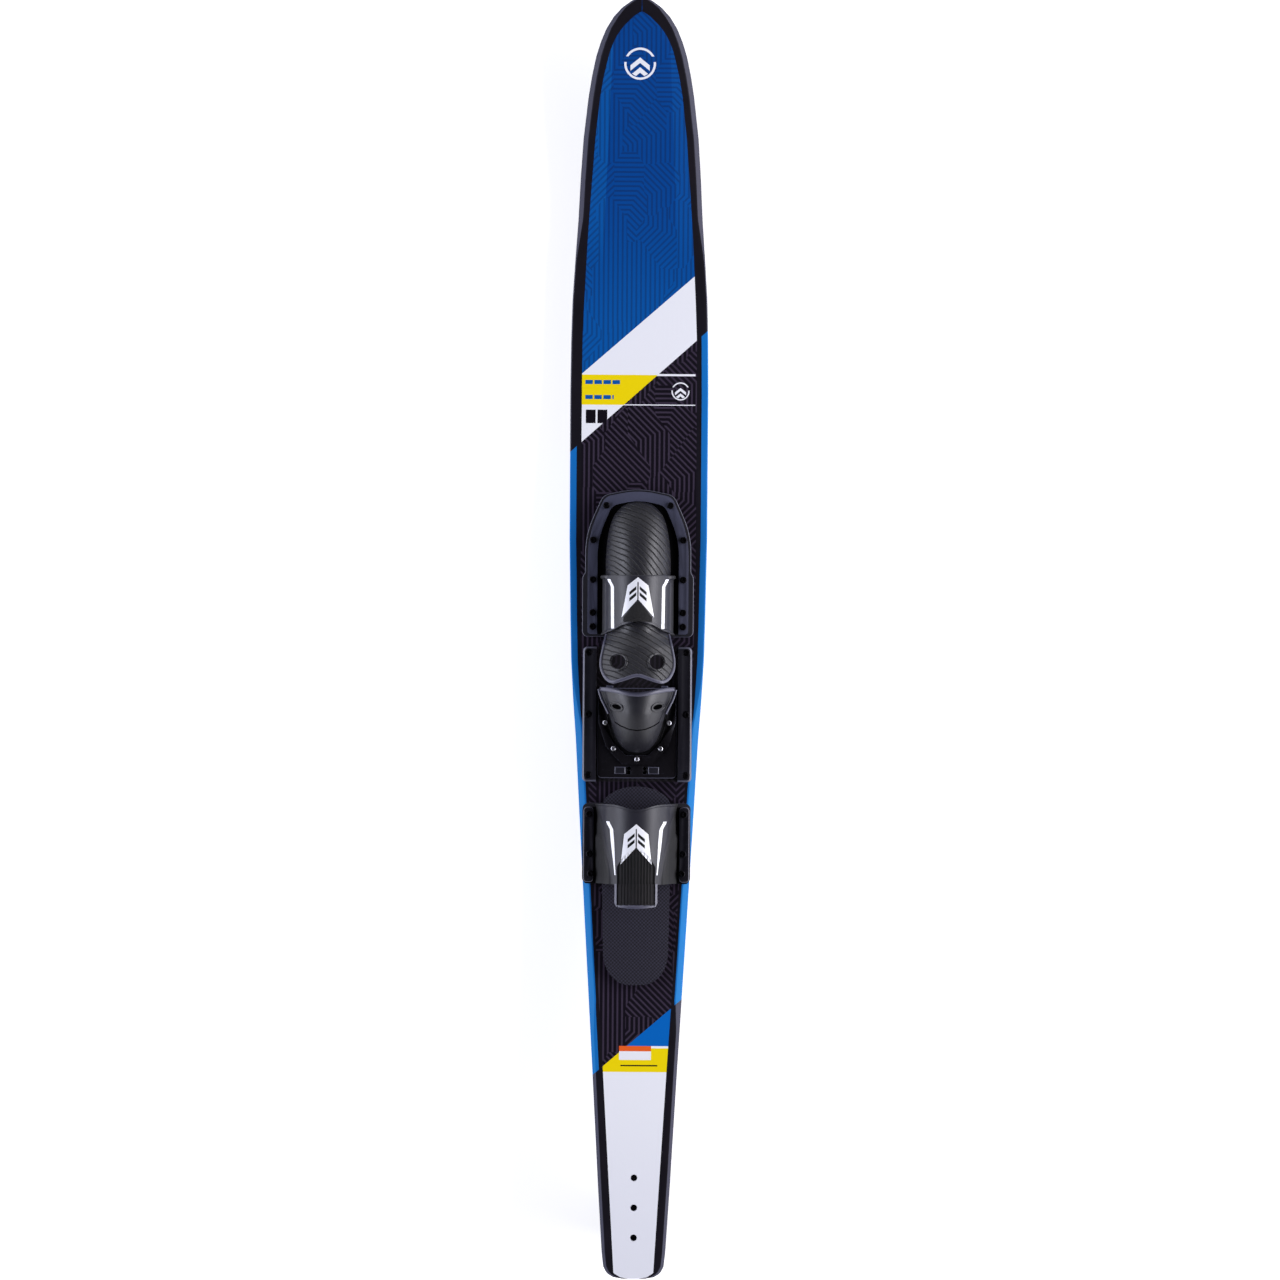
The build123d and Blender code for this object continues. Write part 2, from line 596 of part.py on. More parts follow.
# ---------------------------------------------------------------- rear toe plate
def rear_strap():
    """The rubber arch over the rear foot with its side flanges."""
    outer = arch(REAR, REAR_PLATE_T)
    inner = arch(REAR, REAR_PLATE_T, WALL, (10, -10))
    strap = outer - inner
    flange = block((REAR[0][1] - 3, REAR_BAR_X[1] - 1), (REAR[-1][0], REAR[0][0] - 4),
                   (REAR_PLATE_T, REAR_PLATE_T + FLANGE_T))
    strap += flange + mirror(flange, about=Plane.YZ)
    return strap - arch(REAR, REAR_PLATE_T, WALL, (10, -10))


def rear_tab():
    """The ribbed grip tab behind the strap."""
    half, rear, front = TAB
    top = REAR_PLATE_T + REAR[-1][2]
    rise = 10.0
    sheet = loft([tongue_section(front + 3.4, half, top, 9.0),
                  tongue_section(rear, half, top + rise, 8.0)])
    for rib in range(4):
        y = front - 3 - rib * 5
        ridge_top = top + rise * (front - y) / (front - rear) + 1.6
        sheet += loft([tongue_section(y, half - 3, ridge_top, 6.5),
                       tongue_section(y - 2.2, half - 3, ridge_top, 6.5)])
    return sheet


def rear_parts():
    """The rear toe plate."""
    half, low, high = REAR_PLATE
    places = mirrored(REAR_SCREWS)
    plate = block((-half, half), (low, high), (0, REAR_PLATE_T))
    plate = fillet(plate.edges().filter_by(Axis.Z), 8)
    pad = prism(both_sides(PAD), 0, PAD_T) - block((-60, 60), (low - 0.2, high + 0.2), (-1, REAR_PLATE_T))
    flange_top = REAR_PLATE_T + FLANGE_T
    pad &= block((-50, 50), (-470, -190), (0, 20)) - rear_wall_room()
    bar = block(REAR_BAR_X, (-322, -222), (flange_top, flange_top + REAR_BAR_T))
    bar = fillet(bar.edges().filter_by(Axis.Z), 5)
    bar = chamfer(bar.edges().group_by(Axis.Z)[-1], 0.8)
    holes = posts(places, CLEAR_R, -1, 20)
    bar -= holes
    return {
        "rear_base_plate": plate - holes,
        "rear_foot_pad": pad,
        "rear_strap": rear_strap() - holes,
        "rear_tab": rear_tab(),
        "right_rear_clamp": bar,
        "left_rear_clamp": mirror(bar, about=Plane.YZ),
        "rear_clamp_screws": screws(places, flange_top + REAR_BAR_T, REAR_SCREW_LENGTH),
    }


def rear_wall_room():
    """The space the strap's walls take where they pass down beside the foot pad."""
    side = block((REAR[0][1] - WALL - 3, 60), (REAR[-1][0] - 1, REAR[0][0] + 1), (REAR_PLATE_T, 20))
    return side + mirror(side, about=Plane.YZ)


# ---------------------------------------------------------------- assembly
def assembly():
    """Every piece in the level ski's axes."""
    parts = ski_layers()
    screw_sets = [(FRONT_SCREWS, "front_inserts"), (RAIL_SCREWS, "rail_inserts"),
                  (REAR_SCREWS, "rear_inserts")]
    for places, name in screw_sets:
        parts[name] = inserts(mirrored(places), -SKIN)
        parts["foam_core"] -= posts(mirrored(places), INSERT_R, -SKIN - INSERT_DEPTH, 0)
        parts["deck_shell"] -= posts(mirrored(places), CLEAR_R, -5, 1)
    places = fin_screw_places()
    for name in ("deck_shell", "foam_core", "base_shell"):
        parts[name] -= posts(places, CLEAR_R, -60, 60)
    for name in ("deck_shell", "foam_core"):
        parts[name] -= posts(places, FIN_RECESS_R, FIN_SEAT, 60)
    parts.update(fin_parts())
    parts.update(front_parts())
    parts.update(heel_parts())
    parts.update(rear_parts())
    return parts


def standing(parts):
    """Turns the level ski nose down and sets it on the floor, centred over the origin."""
    turn = Rot(-degrees(PITCH), 0, 0)
    turned = {name: turn * shape for name, shape in parts.items()}
    lift = FIN_TIP[0] * sin(PITCH) - FIN_BOTTOM * cos(PITCH)
    boxes = [turned[name].bounding_box() for name in ("deck_shell", "base_shell")]
    middle = (min(box.min.Y for box in boxes) + max(box.max.Y for box in boxes)) / 2
    print("pitch", degrees(PITCH), "lift", lift, "shift", -middle)
    move = Pos(0, -middle, lift)
    return {name: move * shape for name, shape in turned.items()}


def main():
    """Writes one STEP file for each piece."""
    os.makedirs("parts", exist_ok=True)
    for name, shape in standing(assembly()).items():
        export_step(shape, f"parts/{name}.step")


main()
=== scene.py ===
"""Combo slalom water ski: its moulded rubber, plastic, foam and printed laminate."""
import json
import math

import bpy
from mathutils import Matrix, Vector

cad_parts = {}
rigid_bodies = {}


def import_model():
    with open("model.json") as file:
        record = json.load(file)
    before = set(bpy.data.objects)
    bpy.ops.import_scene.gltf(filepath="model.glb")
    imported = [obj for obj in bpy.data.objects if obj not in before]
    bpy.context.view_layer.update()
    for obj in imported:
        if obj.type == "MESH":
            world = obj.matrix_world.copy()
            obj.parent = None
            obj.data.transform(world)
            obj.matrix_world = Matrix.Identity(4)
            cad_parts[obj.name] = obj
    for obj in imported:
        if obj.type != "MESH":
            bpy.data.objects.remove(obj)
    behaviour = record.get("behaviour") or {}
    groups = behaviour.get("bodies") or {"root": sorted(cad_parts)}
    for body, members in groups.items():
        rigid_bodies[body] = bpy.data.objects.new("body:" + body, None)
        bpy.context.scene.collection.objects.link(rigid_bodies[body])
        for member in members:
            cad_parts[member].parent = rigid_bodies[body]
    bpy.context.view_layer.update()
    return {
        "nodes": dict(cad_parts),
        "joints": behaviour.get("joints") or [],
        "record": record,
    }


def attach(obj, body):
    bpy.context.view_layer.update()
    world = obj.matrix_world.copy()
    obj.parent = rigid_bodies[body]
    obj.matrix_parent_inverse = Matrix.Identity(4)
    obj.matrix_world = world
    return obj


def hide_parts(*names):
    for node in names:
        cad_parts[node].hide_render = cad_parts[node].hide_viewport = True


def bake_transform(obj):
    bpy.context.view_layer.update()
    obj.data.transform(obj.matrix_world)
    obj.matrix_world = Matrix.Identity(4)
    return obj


bl_info = {
    "name": "Combo Slalom Ski",
    "version": (1, 0, 0),
    "blender": (4, 5, 0),
    "location": "View3D > Sidebar > Ski",
    "description": "Dresses a combination slalom water ski and its bindings",
    "category": "Add Mesh",
}

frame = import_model()

# ------------------------------------------------------------------ the ski's own axes
# Pieces are modelled level, in millimetres: X right, Y towards the nose, Z up from the flat deck.
MM = 0.001
FRONT_SOLE = Vector((0.0, 60.0, 9.0))     # where the front_foot mount is, on the footbed


def ski_axes():
    """The matrix from the ski's level millimetres to the frame's metres."""
    slide = next(j for j in frame["joints"] if j["name"] == "heel_slide")
    sole = next(m for m in frame["record"]["mounts"] if m["name"] == "front_foot")
    pitch = math.atan2(slide["axis"][2], slide["axis"][1])
    turn = Matrix.Rotation(pitch, 4, "X") @ Matrix.Scale(MM, 4)
    move = Matrix.Translation(Vector(sole["pos_m"]) - turn @ FRONT_SOLE)
    return move @ turn, pitch


SKI, PITCH = ski_axes()

NOSE, TAIL = 850.0, -849.0
DECK_FLAT = (-480.0, 300.0)
CORE_DEPTH, NOSE_DEPTH, TAIL_DEPTH = 24.0, 9.0, 11.0
NOSE_RISE, TAIL_RISE = 62.0, 8.0
REACH = 854.0

# plan half width of the ski, from nose to tail: Y, half width
EDGE = [(850, 0), (848.6, 7), (845, 14), (836.6, 26), (824.6, 37.2), (808.6, 47.2), (790, 54.8),
        (771.4, 60.5), (744.8, 66), (718.2, 70.2), (665, 76.4), (611.8, 79.9), (558.6, 82.5),
        (505.4, 86.2), (452.2, 89.6),
        (399, 91.1), (330, 91.8), (133, 91.6), (79.8, 90.6), (26.6, 89.7), (-26.6, 88.4), (-79.8, 85.3),
        (-133, 81.4), (-239.4, 75.6), (-399, 66.5), (-558.6, 57.2), (-718.2, 48.3), (-815, 42.3),
        (-833, 40.2), (-842, 35.5), (-847, 27), (-849, 16)]
# half width of the printed panel inside the dark rim
PANEL = [(832, 0), (830, 3), (824.6, 11), (811.3, 24.6), (798, 34), (784.7, 40), (771.4, 44), (744.8, 50.3),
         (718.2, 54.8), (665, 60.6), (585.2, 66.5), (532, 70), (452, 74), (399, 76), (320, 76.5), (80, 76.4),
         (-26.6, 74.2), (-133, 67.5), (-399, 53.5), (-545, 44), (-705, 34.5), (-849, 26)]
# width of the bevel along the deck's edge
BEVEL = [(850, 3), (825, 6), (560, 6), (500, 1.2), (-50, 1.2), (-115, 8), (-480, 8), (-520, 4.6),
         (-849, 4.2)]
# distance of the nose's side facets from the middle
FACET = [(850, 8), (824, 20), (800, 32), (718, 41), (585, 46), (500, 50), (-849, 20)]
# how far the facets fall from the middle to the rim
FACET_DROP = [(850, 1.0), (800, 3.0), (560, 3.0), (480, 0.0), (-849, 0.0)]
BLUE_RIM = 8.8                              # width of the outer band of the rim


def along(table, y):
    """Reads a table of (y, value) from nose to tail, in straight steps."""
    if y >= table[0][0]:
        return table[0][1]
    for (y0, a), (y1, b) in zip(table, table[1:]):
        if y >= y1:
            t = (y0 - y) / (y0 - y1)
            return a + (b - a) * t
    return table[-1][1]


def curve_height(y, flat, nose, tail):
    """Height of the deck or base line: flat in the middle, rising as a parabola at both ends."""
    rear, front = DECK_FLAT
    if y > front:
        return flat + (nose - flat) * ((y - front) / (REACH - front)) ** 2
    if y < rear:
        return flat + (tail - flat) * ((rear - y) / (rear + REACH)) ** 2
    return flat


def deck_height(y):
    """Height of the deck on the middle line."""
    return curve_height(y, 0.0, NOSE_RISE, TAIL_RISE)


def base_height(y):
    """Height of the base on the middle line."""
    return curve_height(y, -CORE_DEPTH, NOSE_RISE - NOSE_DEPTH, TAIL_RISE - TAIL_DEPTH)


def middle_height(y):
    """Height of the part line between the deck and the base."""
    return (deck_height(y) + base_height(y)) / 2


def smooth(t):
    """0 to 1 with soft ends."""
    t = min(max(t, 0.0), 1.0)
    return t * t * (3 - 2 * t)


# ------------------------------------------------------------------ modelling helpers
def select_only(*objects):
    """Leaves just these objects selected, the last one active."""
    for other in bpy.context.view_layer.objects:
        other.select_set(False)
    for obj in objects:
        obj.select_set(True)
        bpy.context.view_layer.objects.active = obj


def apply_modifier(obj, kind, **settings):
    """Adds one modifier and applies it."""
    select_only(obj)
    modifier = obj.modifiers.new(kind.title(), kind)
    for name, value in settings.items():
        setattr(modifier, name, value)
    bpy.ops.object.modifier_apply(modifier=modifier.name)
    return obj


def soften(obj, width, segments, angle):
    """Rounds every edge that is sharper than the angle."""
    return apply_modifier(obj, "BEVEL", width=width, segments=segments, limit_method="ANGLE",
                          angle_limit=math.radians(angle))


def empty_slots(obj, count=2):
    """Gives a piece this many material slots, to be filled when it is finished."""
    obj.data.materials.clear()
    for _ in range(count):
        obj.data.materials.append(None)


def edit(obj, *steps):
    """Runs edit-mode steps on everything in a piece."""
    select_only(obj)
    bpy.ops.object.mode_set(mode="EDIT")
    bpy.ops.mesh.select_all(action="SELECT")
    for step in steps:
        step()
    bpy.ops.object.mode_set(mode="OBJECT")
    return obj


def tidy_faces(obj, distance=0.01):
    """Merges doubles and points the faces of a closed piece outwards."""
    edit(obj, lambda: bpy.ops.mesh.remove_doubles(threshold=distance),
         lambda: bpy.ops.mesh.normals_make_consistent(inside=False))
    if sum(p.center.dot(p.normal) * p.area for p in obj.data.polygons) < 0:
        edit(obj, lambda: bpy.ops.mesh.flip_normals())
    return obj


def sheet(name, columns, rows, place):
    """A grid bent to a surface: place(u, v) gives each point, u across and v along, both 0 to 1."""
    select_only()
    bpy.ops.mesh.primitive_grid_add(x_subdivisions=columns, y_subdivisions=rows, size=1, location=(0, 0, 0))
    obj = bpy.context.object
    obj.name = name
    for vertex in obj.data.vertices:
        vertex.co = place(vertex.co.x + 0.5, vertex.co.y + 0.5)
    obj.data.update()
    return obj


def slab(name, outline, low, high, edge):
    """A flat plate from its plan outline, with rounded edges."""
    select_only()
    bpy.ops.mesh.primitive_circle_add(vertices=len(outline), fill_type="NGON", location=(0, 0, 0))
    obj = bpy.context.object
    obj.name = name
    for vertex, (x, y) in zip(obj.data.vertices, outline):
        vertex.co = (x, y, low)
    edit(obj, lambda: bpy.ops.mesh.extrude_region_move(
        TRANSFORM_OT_translate={"value": (0, 0, high - low)}))
    tidy_faces(obj)
    return soften(obj, edge, 3, 35) if edge else obj


def rounded(points, radius, steps=6):
    """A closed outline whose corners are rounded; each point is (x, y) or (x, y, its own radius)."""
    out = []
    count = len(points)
    for i, point in enumerate(points):
        here = Vector(point[:2])
        size = point[2] if len(point) > 2 else radius
        before = Vector(points[i - 1][:2]) - here
        after = Vector(points[(i + 1) % count][:2]) - here
        reach = min(size, before.length * 0.49, after.length * 0.49)
        start = here + before.normalized() * reach
        end = here + after.normalized() * reach
        for k in range(steps + 1):
            t = k / steps
            out.append(tuple((1 - t) ** 2 * start + 2 * t * (1 - t) * here + t * t * end))
    return out


def both_sides(points):
    """A closed outline from its right-hand points."""
    return list(points) + [(-p[0],) + tuple(p[1:]) for p in reversed(points) if abs(p[0]) > 1e-6]


def join(*objects):
    """Joins pieces into the first, each keeping its material slots."""
    for obj in objects:
        while len(obj.data.materials) < 2:
            obj.data.materials.append(None)
    slots = [[p.material_index for p in obj.data.polygons] for obj in objects]
    select_only(*reversed(objects))
    bpy.ops.object.join()
    order = [index for group in slots for index in group]
    empty_slots(objects[0])
    for polygon, index in zip(objects[0].data.polygons, order):
        polygon.material_index = index
    return objects[0]


def cut(obj, cutter, operation="DIFFERENCE"):
    """Cuts a piece with another and removes the cutter."""
    apply_modifier(obj, "BOOLEAN", object=cutter, operation=operation, solver="EXACT")
    bpy.data.objects.remove(cutter)
    return obj


def rod(x, y, low, high, radius, sides=40):
    """An upright cutter."""
    select_only()
    bpy.ops.mesh.primitive_cylinder_add(vertices=sides, radius=radius, depth=high - low,
                                        location=(x, y, (low + high) / 2))
    select_only(bpy.context.object)
    bpy.ops.object.transform_apply(location=True)
    return bpy.context.object


def from_cad(node):
    """A merged copy of a CAD node's mesh, in the ski's level millimetres."""
    obj = frame["nodes"][node].copy()
    obj.data = obj.data.copy()
    obj.name = node + "_finished"
    bpy.context.scene.collection.objects.link(obj)
    obj.parent = None
    for key in [k for k in obj.keys() if k.startswith("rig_")]:
        del obj[key]
    obj.data.transform(SKI.inverted())
    obj.data.materials.clear()
    return tidy_faces(obj, 0.002)


def refined(node, width):
    """A CAD node's shape with its edges rounded."""
    obj = from_cad(node)
    edit(obj, lambda: bpy.ops.mesh.dissolve_limited(angle_limit=math.radians(2)))
    return soften(obj, width, 2, 30)


def finish(obj, name, body, slot, materials, nodes=(), smooth_angle=35, bend=None):
    """Sets a modelled piece in the frame and paints it; it hangs it on its body unless it is given a bend,
    when it is left on no body.
    """
    obj.name = name
    obj.data.name = name
    obj.data.transform(SKI)
    obj.data.update()
    obj.matrix_world = Matrix.Identity(4)
    materials = materials if isinstance(materials, (list, tuple)) else [materials]
    for index, material in enumerate(materials):
        if index < len(obj.data.materials):
            obj.data.materials[index] = material
        else:
            obj.data.materials.append(material)
    select_only(obj)
    bpy.ops.object.shade_smooth_by_angle(angle=math.radians(smooth_angle))
    if bend:
        SKI @ Vector(bend[2])
        SKI @ Vector(bend[3])
        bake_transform(obj)
    else:
        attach(obj, body)
    if nodes:
        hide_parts(*nodes)
    return obj


# ------------------------------------------------------------------ shader helpers
def operator(operation, swapped=False):
    """A Python operator that adds a Math node."""
    def apply(self, *others):
        values = (self, *others)
        return self.paint.math(operation, *(reversed(values) if swapped else values))
    return apply


class Channel:
    """A value that varies over a surface; Python's operators add Math nodes."""

    def __init__(self, paint, socket):
        self.paint = paint
        self.socket = socket

    __add__ = __radd__ = operator("ADD")
    __mul__ = __rmul__ = operator("MULTIPLY")
    __sub__ = operator("SUBTRACT")
    __rsub__ = operator("SUBTRACT", True)
    __truediv__ = operator("DIVIDE")
    __gt__ = operator("GREATER_THAN")
    __lt__ = operator("LESS_THAN")
    __abs__ = operator("ABSOLUTE")


class Paint:
    """One material being built; its x, y and z are the ski's level millimetres."""

    def __init__(self, name):
        self.material = bpy.data.materials.new(name)
        self.material.use_nodes = True
        self.tree = self.material.node_tree
        self.tree.nodes.clear()
        place = self.node("ShaderNodeTexCoord", output="Object")
        back = Matrix.Rotation(-PITCH, 3, "X")
        offset = back @ SKI.translation
        level = self.node("ShaderNodeMapping", {"vector_type": "POINT"}, {
            "Vector": place, "Location": -offset / MM, "Rotation": (-PITCH, 0, 0),
            "Scale": (1 / MM,) * 3})
        self.point = level
        split = self.node("ShaderNodeSeparateXYZ", {}, {0: level})
        outputs = split.socket.node.outputs
        self.x, self.y, self.z = (Channel(self, outputs[i]) for i in range(3))

    def node(self, kind, settings=None, inputs=None, output=0):
        """Adds a node, sets its settings, then sets or links its sockets."""
        node = self.tree.nodes.new(kind)
        for name, value in (settings or {}).items():
            setattr(node, name, value)
        for key, value in (inputs or {}).items():
            if isinstance(value, Channel):
                self.tree.links.new(value.socket, node.inputs[key])
            else:
                node.inputs[key].default_value = value
        return Channel(self, node.outputs[output])

    def math(self, operation, *values):
        return self.node("ShaderNodeMath", {"operation": operation}, dict(enumerate(values)))

    def mix(self, factor, first, second):
        """A colour between two colours."""
        return self.node("ShaderNodeMix", {"data_type": "RGBA"}, {0: factor, 6: first, 7: second}, 2)

    def noise(self, size, detail=3.0, where=None):
        """Soft noise whose features are about this many millimetres."""
        return self.node("ShaderNodeTexNoise", {}, {
            "Vector": where or self.point, "Scale": 1.0 / size, "Detail": detail, "Roughness": 0.5})

    def vector(self, x, y, z):
        return self.node("ShaderNodeCombineXYZ", {}, {0: x, 1: y, 2: z})

    def band(self, value, low, high):
        """1 between two limits."""
        return (value > low) * (value < high)

    def soft(self, value, low, high):
        """Rises from 0 to 1 between two limits."""
        return self.node("ShaderNodeMapRange", {"interpolation_type": "SMOOTHSTEP"},
                         {"Value": value, 1: low, 2: high})

    def fract(self, value):
        return self.math("FRACT", value)

    def either(self, *masks):
        out = masks[0]
        for mask in masks[1:]:
            out = self.math("MAXIMUM", out, mask)
        return out

    def done(self, colour, roughness, height=None, depth=0.2, metallic=0.0, coat=0.0, specular=0.5,
             sheen=0.0, glow=0.0):
        """Joins everything to the surface; depth is the relief in millimetres."""
        shader = self.tree.nodes.new("ShaderNodeBsdfPrincipled")
        out = self.tree.nodes.new("ShaderNodeOutputMaterial")
        self.tree.links.new(shader.outputs[0], out.inputs[0])
        plain = {"Base Color": colour, "Roughness": roughness, "Metallic": metallic, "Coat Weight": coat,
                 "Specular IOR Level": specular, "Sheen Weight": sheen, "Coat Roughness": 0.08,
                 "Emission Strength": glow, "Emission Color": (1.0, 1.0, 1.0, 1.0)}
        if height is not None:
            plain["Normal"] = self.node("ShaderNodeBump", {}, {
                "Height": height, "Distance": depth * MM, "Strength": 1.0})
        for name, value in plain.items():
            if isinstance(value, Channel):
                self.tree.links.new(value.socket, shader.inputs[name])
            else:
                shader.inputs[name].default_value = value
        return self.material


def rgb(red, green, blue):
    """A linear colour from its 0 to 255 display values."""
    def linear(value):
        value /= 255
        return value / 12.92 if value <= 0.04045 else ((value + 0.055) / 1.055) ** 2.4
    return (linear(red), linear(green), linear(blue), 1.0)


def maze(paint, pitch=6.2, cell=52.0, share=0.40):
    """A printed maze of parallel tracks that run straight, aslant and round elbows."""
    here = paint.vector(paint.x, paint.y * 0.72, 0.0)
    cells = paint.node("ShaderNodeTexVoronoi", {"voronoi_dimensions": "2D", "feature": "F1",
                                                "distance": "MANHATTAN"},
                       {"Vector": here, "Scale": 1 / cell, "Randomness": 0.9})
    outputs = cells.socket.node.outputs
    pick = paint.node("ShaderNodeSeparateColor", {}, {0: Channel(paint, outputs["Color"])})
    centre = paint.node("ShaderNodeSeparateXYZ", {}, {0: Channel(paint, outputs["Position"])})
    sockets = centre.socket.node.outputs
    across = paint.x - Channel(paint, sockets[0])
    up = paint.y - Channel(paint, sockets[1]) / 0.72
    falling = (across + up) * math.sqrt(0.5)
    rising = (across - up) * math.sqrt(0.5)
    kinds = [(0.30, paint.math("MAXIMUM", across, falling)), (0.46, paint.math("MAXIMUM", across, rising)),
             (0.60, (paint.x + paint.y) * math.sqrt(0.5)), (0.74, (paint.x - paint.y) * math.sqrt(0.5)),
             (0.88, paint.math("MAXIMUM", up, falling))]
    track = paint.x * 1.0
    for start, other in kinds:
        track = track + (other - track) * (pick > start)
    return paint.fract(track / pitch + 50.0) < share


UPPER_CUT = (420.4, 0.872)     # the slanted edge between blue and white: height on the middle, slope
LOWER_CUT = (331.0, 0.890)     # between white and the black deck
TAIL_CUT = (-530.7, 0.858)     # between the black deck and the blue tail


def above(paint, line):
    """1 on the nose side of a slanted line."""
    return (paint.y - paint.x * line[1]) > line[0]


def chevrons(paint, x, y, size):
    """A plain mark of two stacked chevrons, about size across."""
    fold = y + abs(x) * 0.8
    marks = paint.either(paint.band(fold, size * 0.05, size * 0.3),
                         paint.band(fold, -size * 0.4, -size * 0.15))
    return marks * (abs(x) < size * 0.45)


# ------------------------------------------------------------------ materials
def deck_print(look):
    """The glossy printed laminate inside the dark rim, with painted light on the nose's facets and painted
    shade towards the tail's end.
    """
    p = Paint("deck_print")
    lines = maze(p, look.maze_pitch)
    grain = p.noise(120.0)
    nose = p.soft(p.y, 360.0, 620.0)
    # Painted light: the nose's side facets are painted lighter than its deeper blue middle, the left facet
    # most, as the light falls on them.
    facet = abs(p.x) > 50.0 - (p.y - 500.0) * 0.042
    side = facet * p.soft(p.y, 470.0, 560.0)
    blue = p.mix(nose, look.panel_blue, look.nose_blue)
    blue = p.mix(side * ((p.x < 0.0) * 0.6 + 0.4), blue, look.panel_blue)
    blue = p.mix(lines * 0.36, blue, look.base_black)
    black = p.mix(lines, look.deck_black, look.deck_line)
    upper, lower, tail = (above(p, line) for line in (UPPER_CUT, LOWER_CUT, TAIL_CUT))
    tail_end = p.y < -574.6
    colour = p.mix(tail, look.tail_blue, black)
    thin = p.either(p.band(p.y, 351.2, 353.9), p.band(p.y, 312.0, 313.3))
    emblem = ring_mark(p, 54.7, 331.0, 12.0)
    colour = p.mix(p.either(thin, emblem) * (lower < 0.5) * (p.x < 74.5), colour, look.white)
    colour = p.mix(lower, colour, look.white)
    block = lower * p.band(p.y, 312.6, 352.5)
    colour = p.mix(block, colour, look.yellow)
    bars = size_bars(p)
    colour = p.mix(bars * block, colour, look.panel_blue)
    blocks = p.band(p.y, 288.0, 306.0) * p.band(p.x, -71.0, -41.0) * (p.fract((p.x + 71.0) / 15.5) < 0.84)
    colour = p.mix(blocks * lower, colour, look.deck_black)
    colour = p.mix(upper, colour, blue)
    colour = p.mix(ring_mark(p, -2.0, 763.0, 21.0), colour, look.white)
    low_band = p.band(p.y, -574.6, -543.0)
    colour = p.mix(p.band(p.y, -543.0, -540.0) * (tail < 0.5), colour, look.white)
    colour = p.mix(low_band * (tail < 0.5), colour, look.yellow)
    stripes = p.band(p.y, -567.0, -565.2) * p.band(p.x, -19.0, 30.0)
    colour = p.mix(stripes, colour, look.deck_black)
    colour = p.mix(tail_end, colour, look.white)
    sticker = p.band(p.x, -21.0, 21.5) * p.band(p.y, -558.6, -540.0)
    colour = p.mix(sticker, colour, look.white)
    colour = p.mix(sticker * (p.y > -547.0), colour, look.orange)
    # Painted shade: the white print is greyed towards the tail's end.
    shade = p.soft(p.y, -849.0, -560.0)
    colour = p.mix((1 - shade) * tail_end * 0.3, colour, look.tail_shade_white)
    rough = 0.34 + 0.06 * grain
    relief = lines * 0.5 + p.noise(24.0) * 0.4
    return p.done(colour, rough, relief, 0.03, coat=0.05, specular=0.3)


def ring_mark(p, x, y, radius):
    """A plain round mark: an open ring with two chevrons in it."""
    across, up = p.x - x, p.y - y
    away = p.math("SQRT", across * across + up * up)
    ring = p.band(away, radius * 0.86, radius) * (p.band(up, radius * 0.1, radius * 0.45) < 0.5)
    return p.either(ring, chevrons(p, across, up + radius * 0.02, radius * 1.35) * (away < radius * 0.8))


def size_bars(p):
    """Plain bars where a size table would be printed."""
    upper = p.band(p.y, 340.0, 345.5) * p.band(p.x, -72.0, -24.0)
    lower = p.band(p.y, 320.0, 325.5) * p.band(p.x, -72.0, -34.0)
    return p.either(upper, lower) * (p.fract((p.x + 72.0) / 12.0) < 0.84)


def rim_paint(look, name, blue):
    """The dark rim round the print; its outer band is blue between the slanted edges, and its sloped bevel
    is painted lighter as a painted highlight.
    """
    p = Paint(name)
    colour = look.rim_black
    if blue:
        run = (above(p, LOWER_CUT) < 0.5) * above(p, TAIL_CUT)
        # Painted highlight: where the rim's bevel slopes down it is painted light, light blue in the blue
        # run and light grey elsewhere, as it catches the light.
        sloped = p.mix(run, look.scuff_and_highlight_grey, look.lit_edge_blue)
        colour = p.mix(up_facing(p, 0.985, 0.95, 0.3, 0.6) * 0.6,
                       p.mix(run, look.rim_black, look.rim_blue), sloped)
    tint = p.mix(p.noise(60.0) * 0.15, colour, look.deck_line)
    return p.done(tint, 0.4 + 0.08 * p.noise(30.0), p.noise(18.0), 0.02, specular=0.22)


def base_paint(look):
    """The smooth base with the faint brushed lines of a mould."""
    p = Paint("base_gloss")
    streaks = p.noise(1.6, 4.0, p.vector(p.x, p.y * 0.02, p.z))
    scuffs = p.noise(3.0, 6.0, p.vector(p.x, p.y * 0.08, p.z * 3.0)) > 0.68
    blue = p.band(abs(p.x) + p.y * 0.05, 14.0, 34.0) * p.band(p.y, -440.0, 620.0)
    colour = p.mix(blue, look.base_black, look.panel_blue)
    colour = p.mix(streaks * 0.25, colour, look.deck_line)
    return p.done(p.mix(scuffs * 0.15, colour, look.white), 0.25 + 0.15 * streaks, streaks, 0.03, coat=0.3)


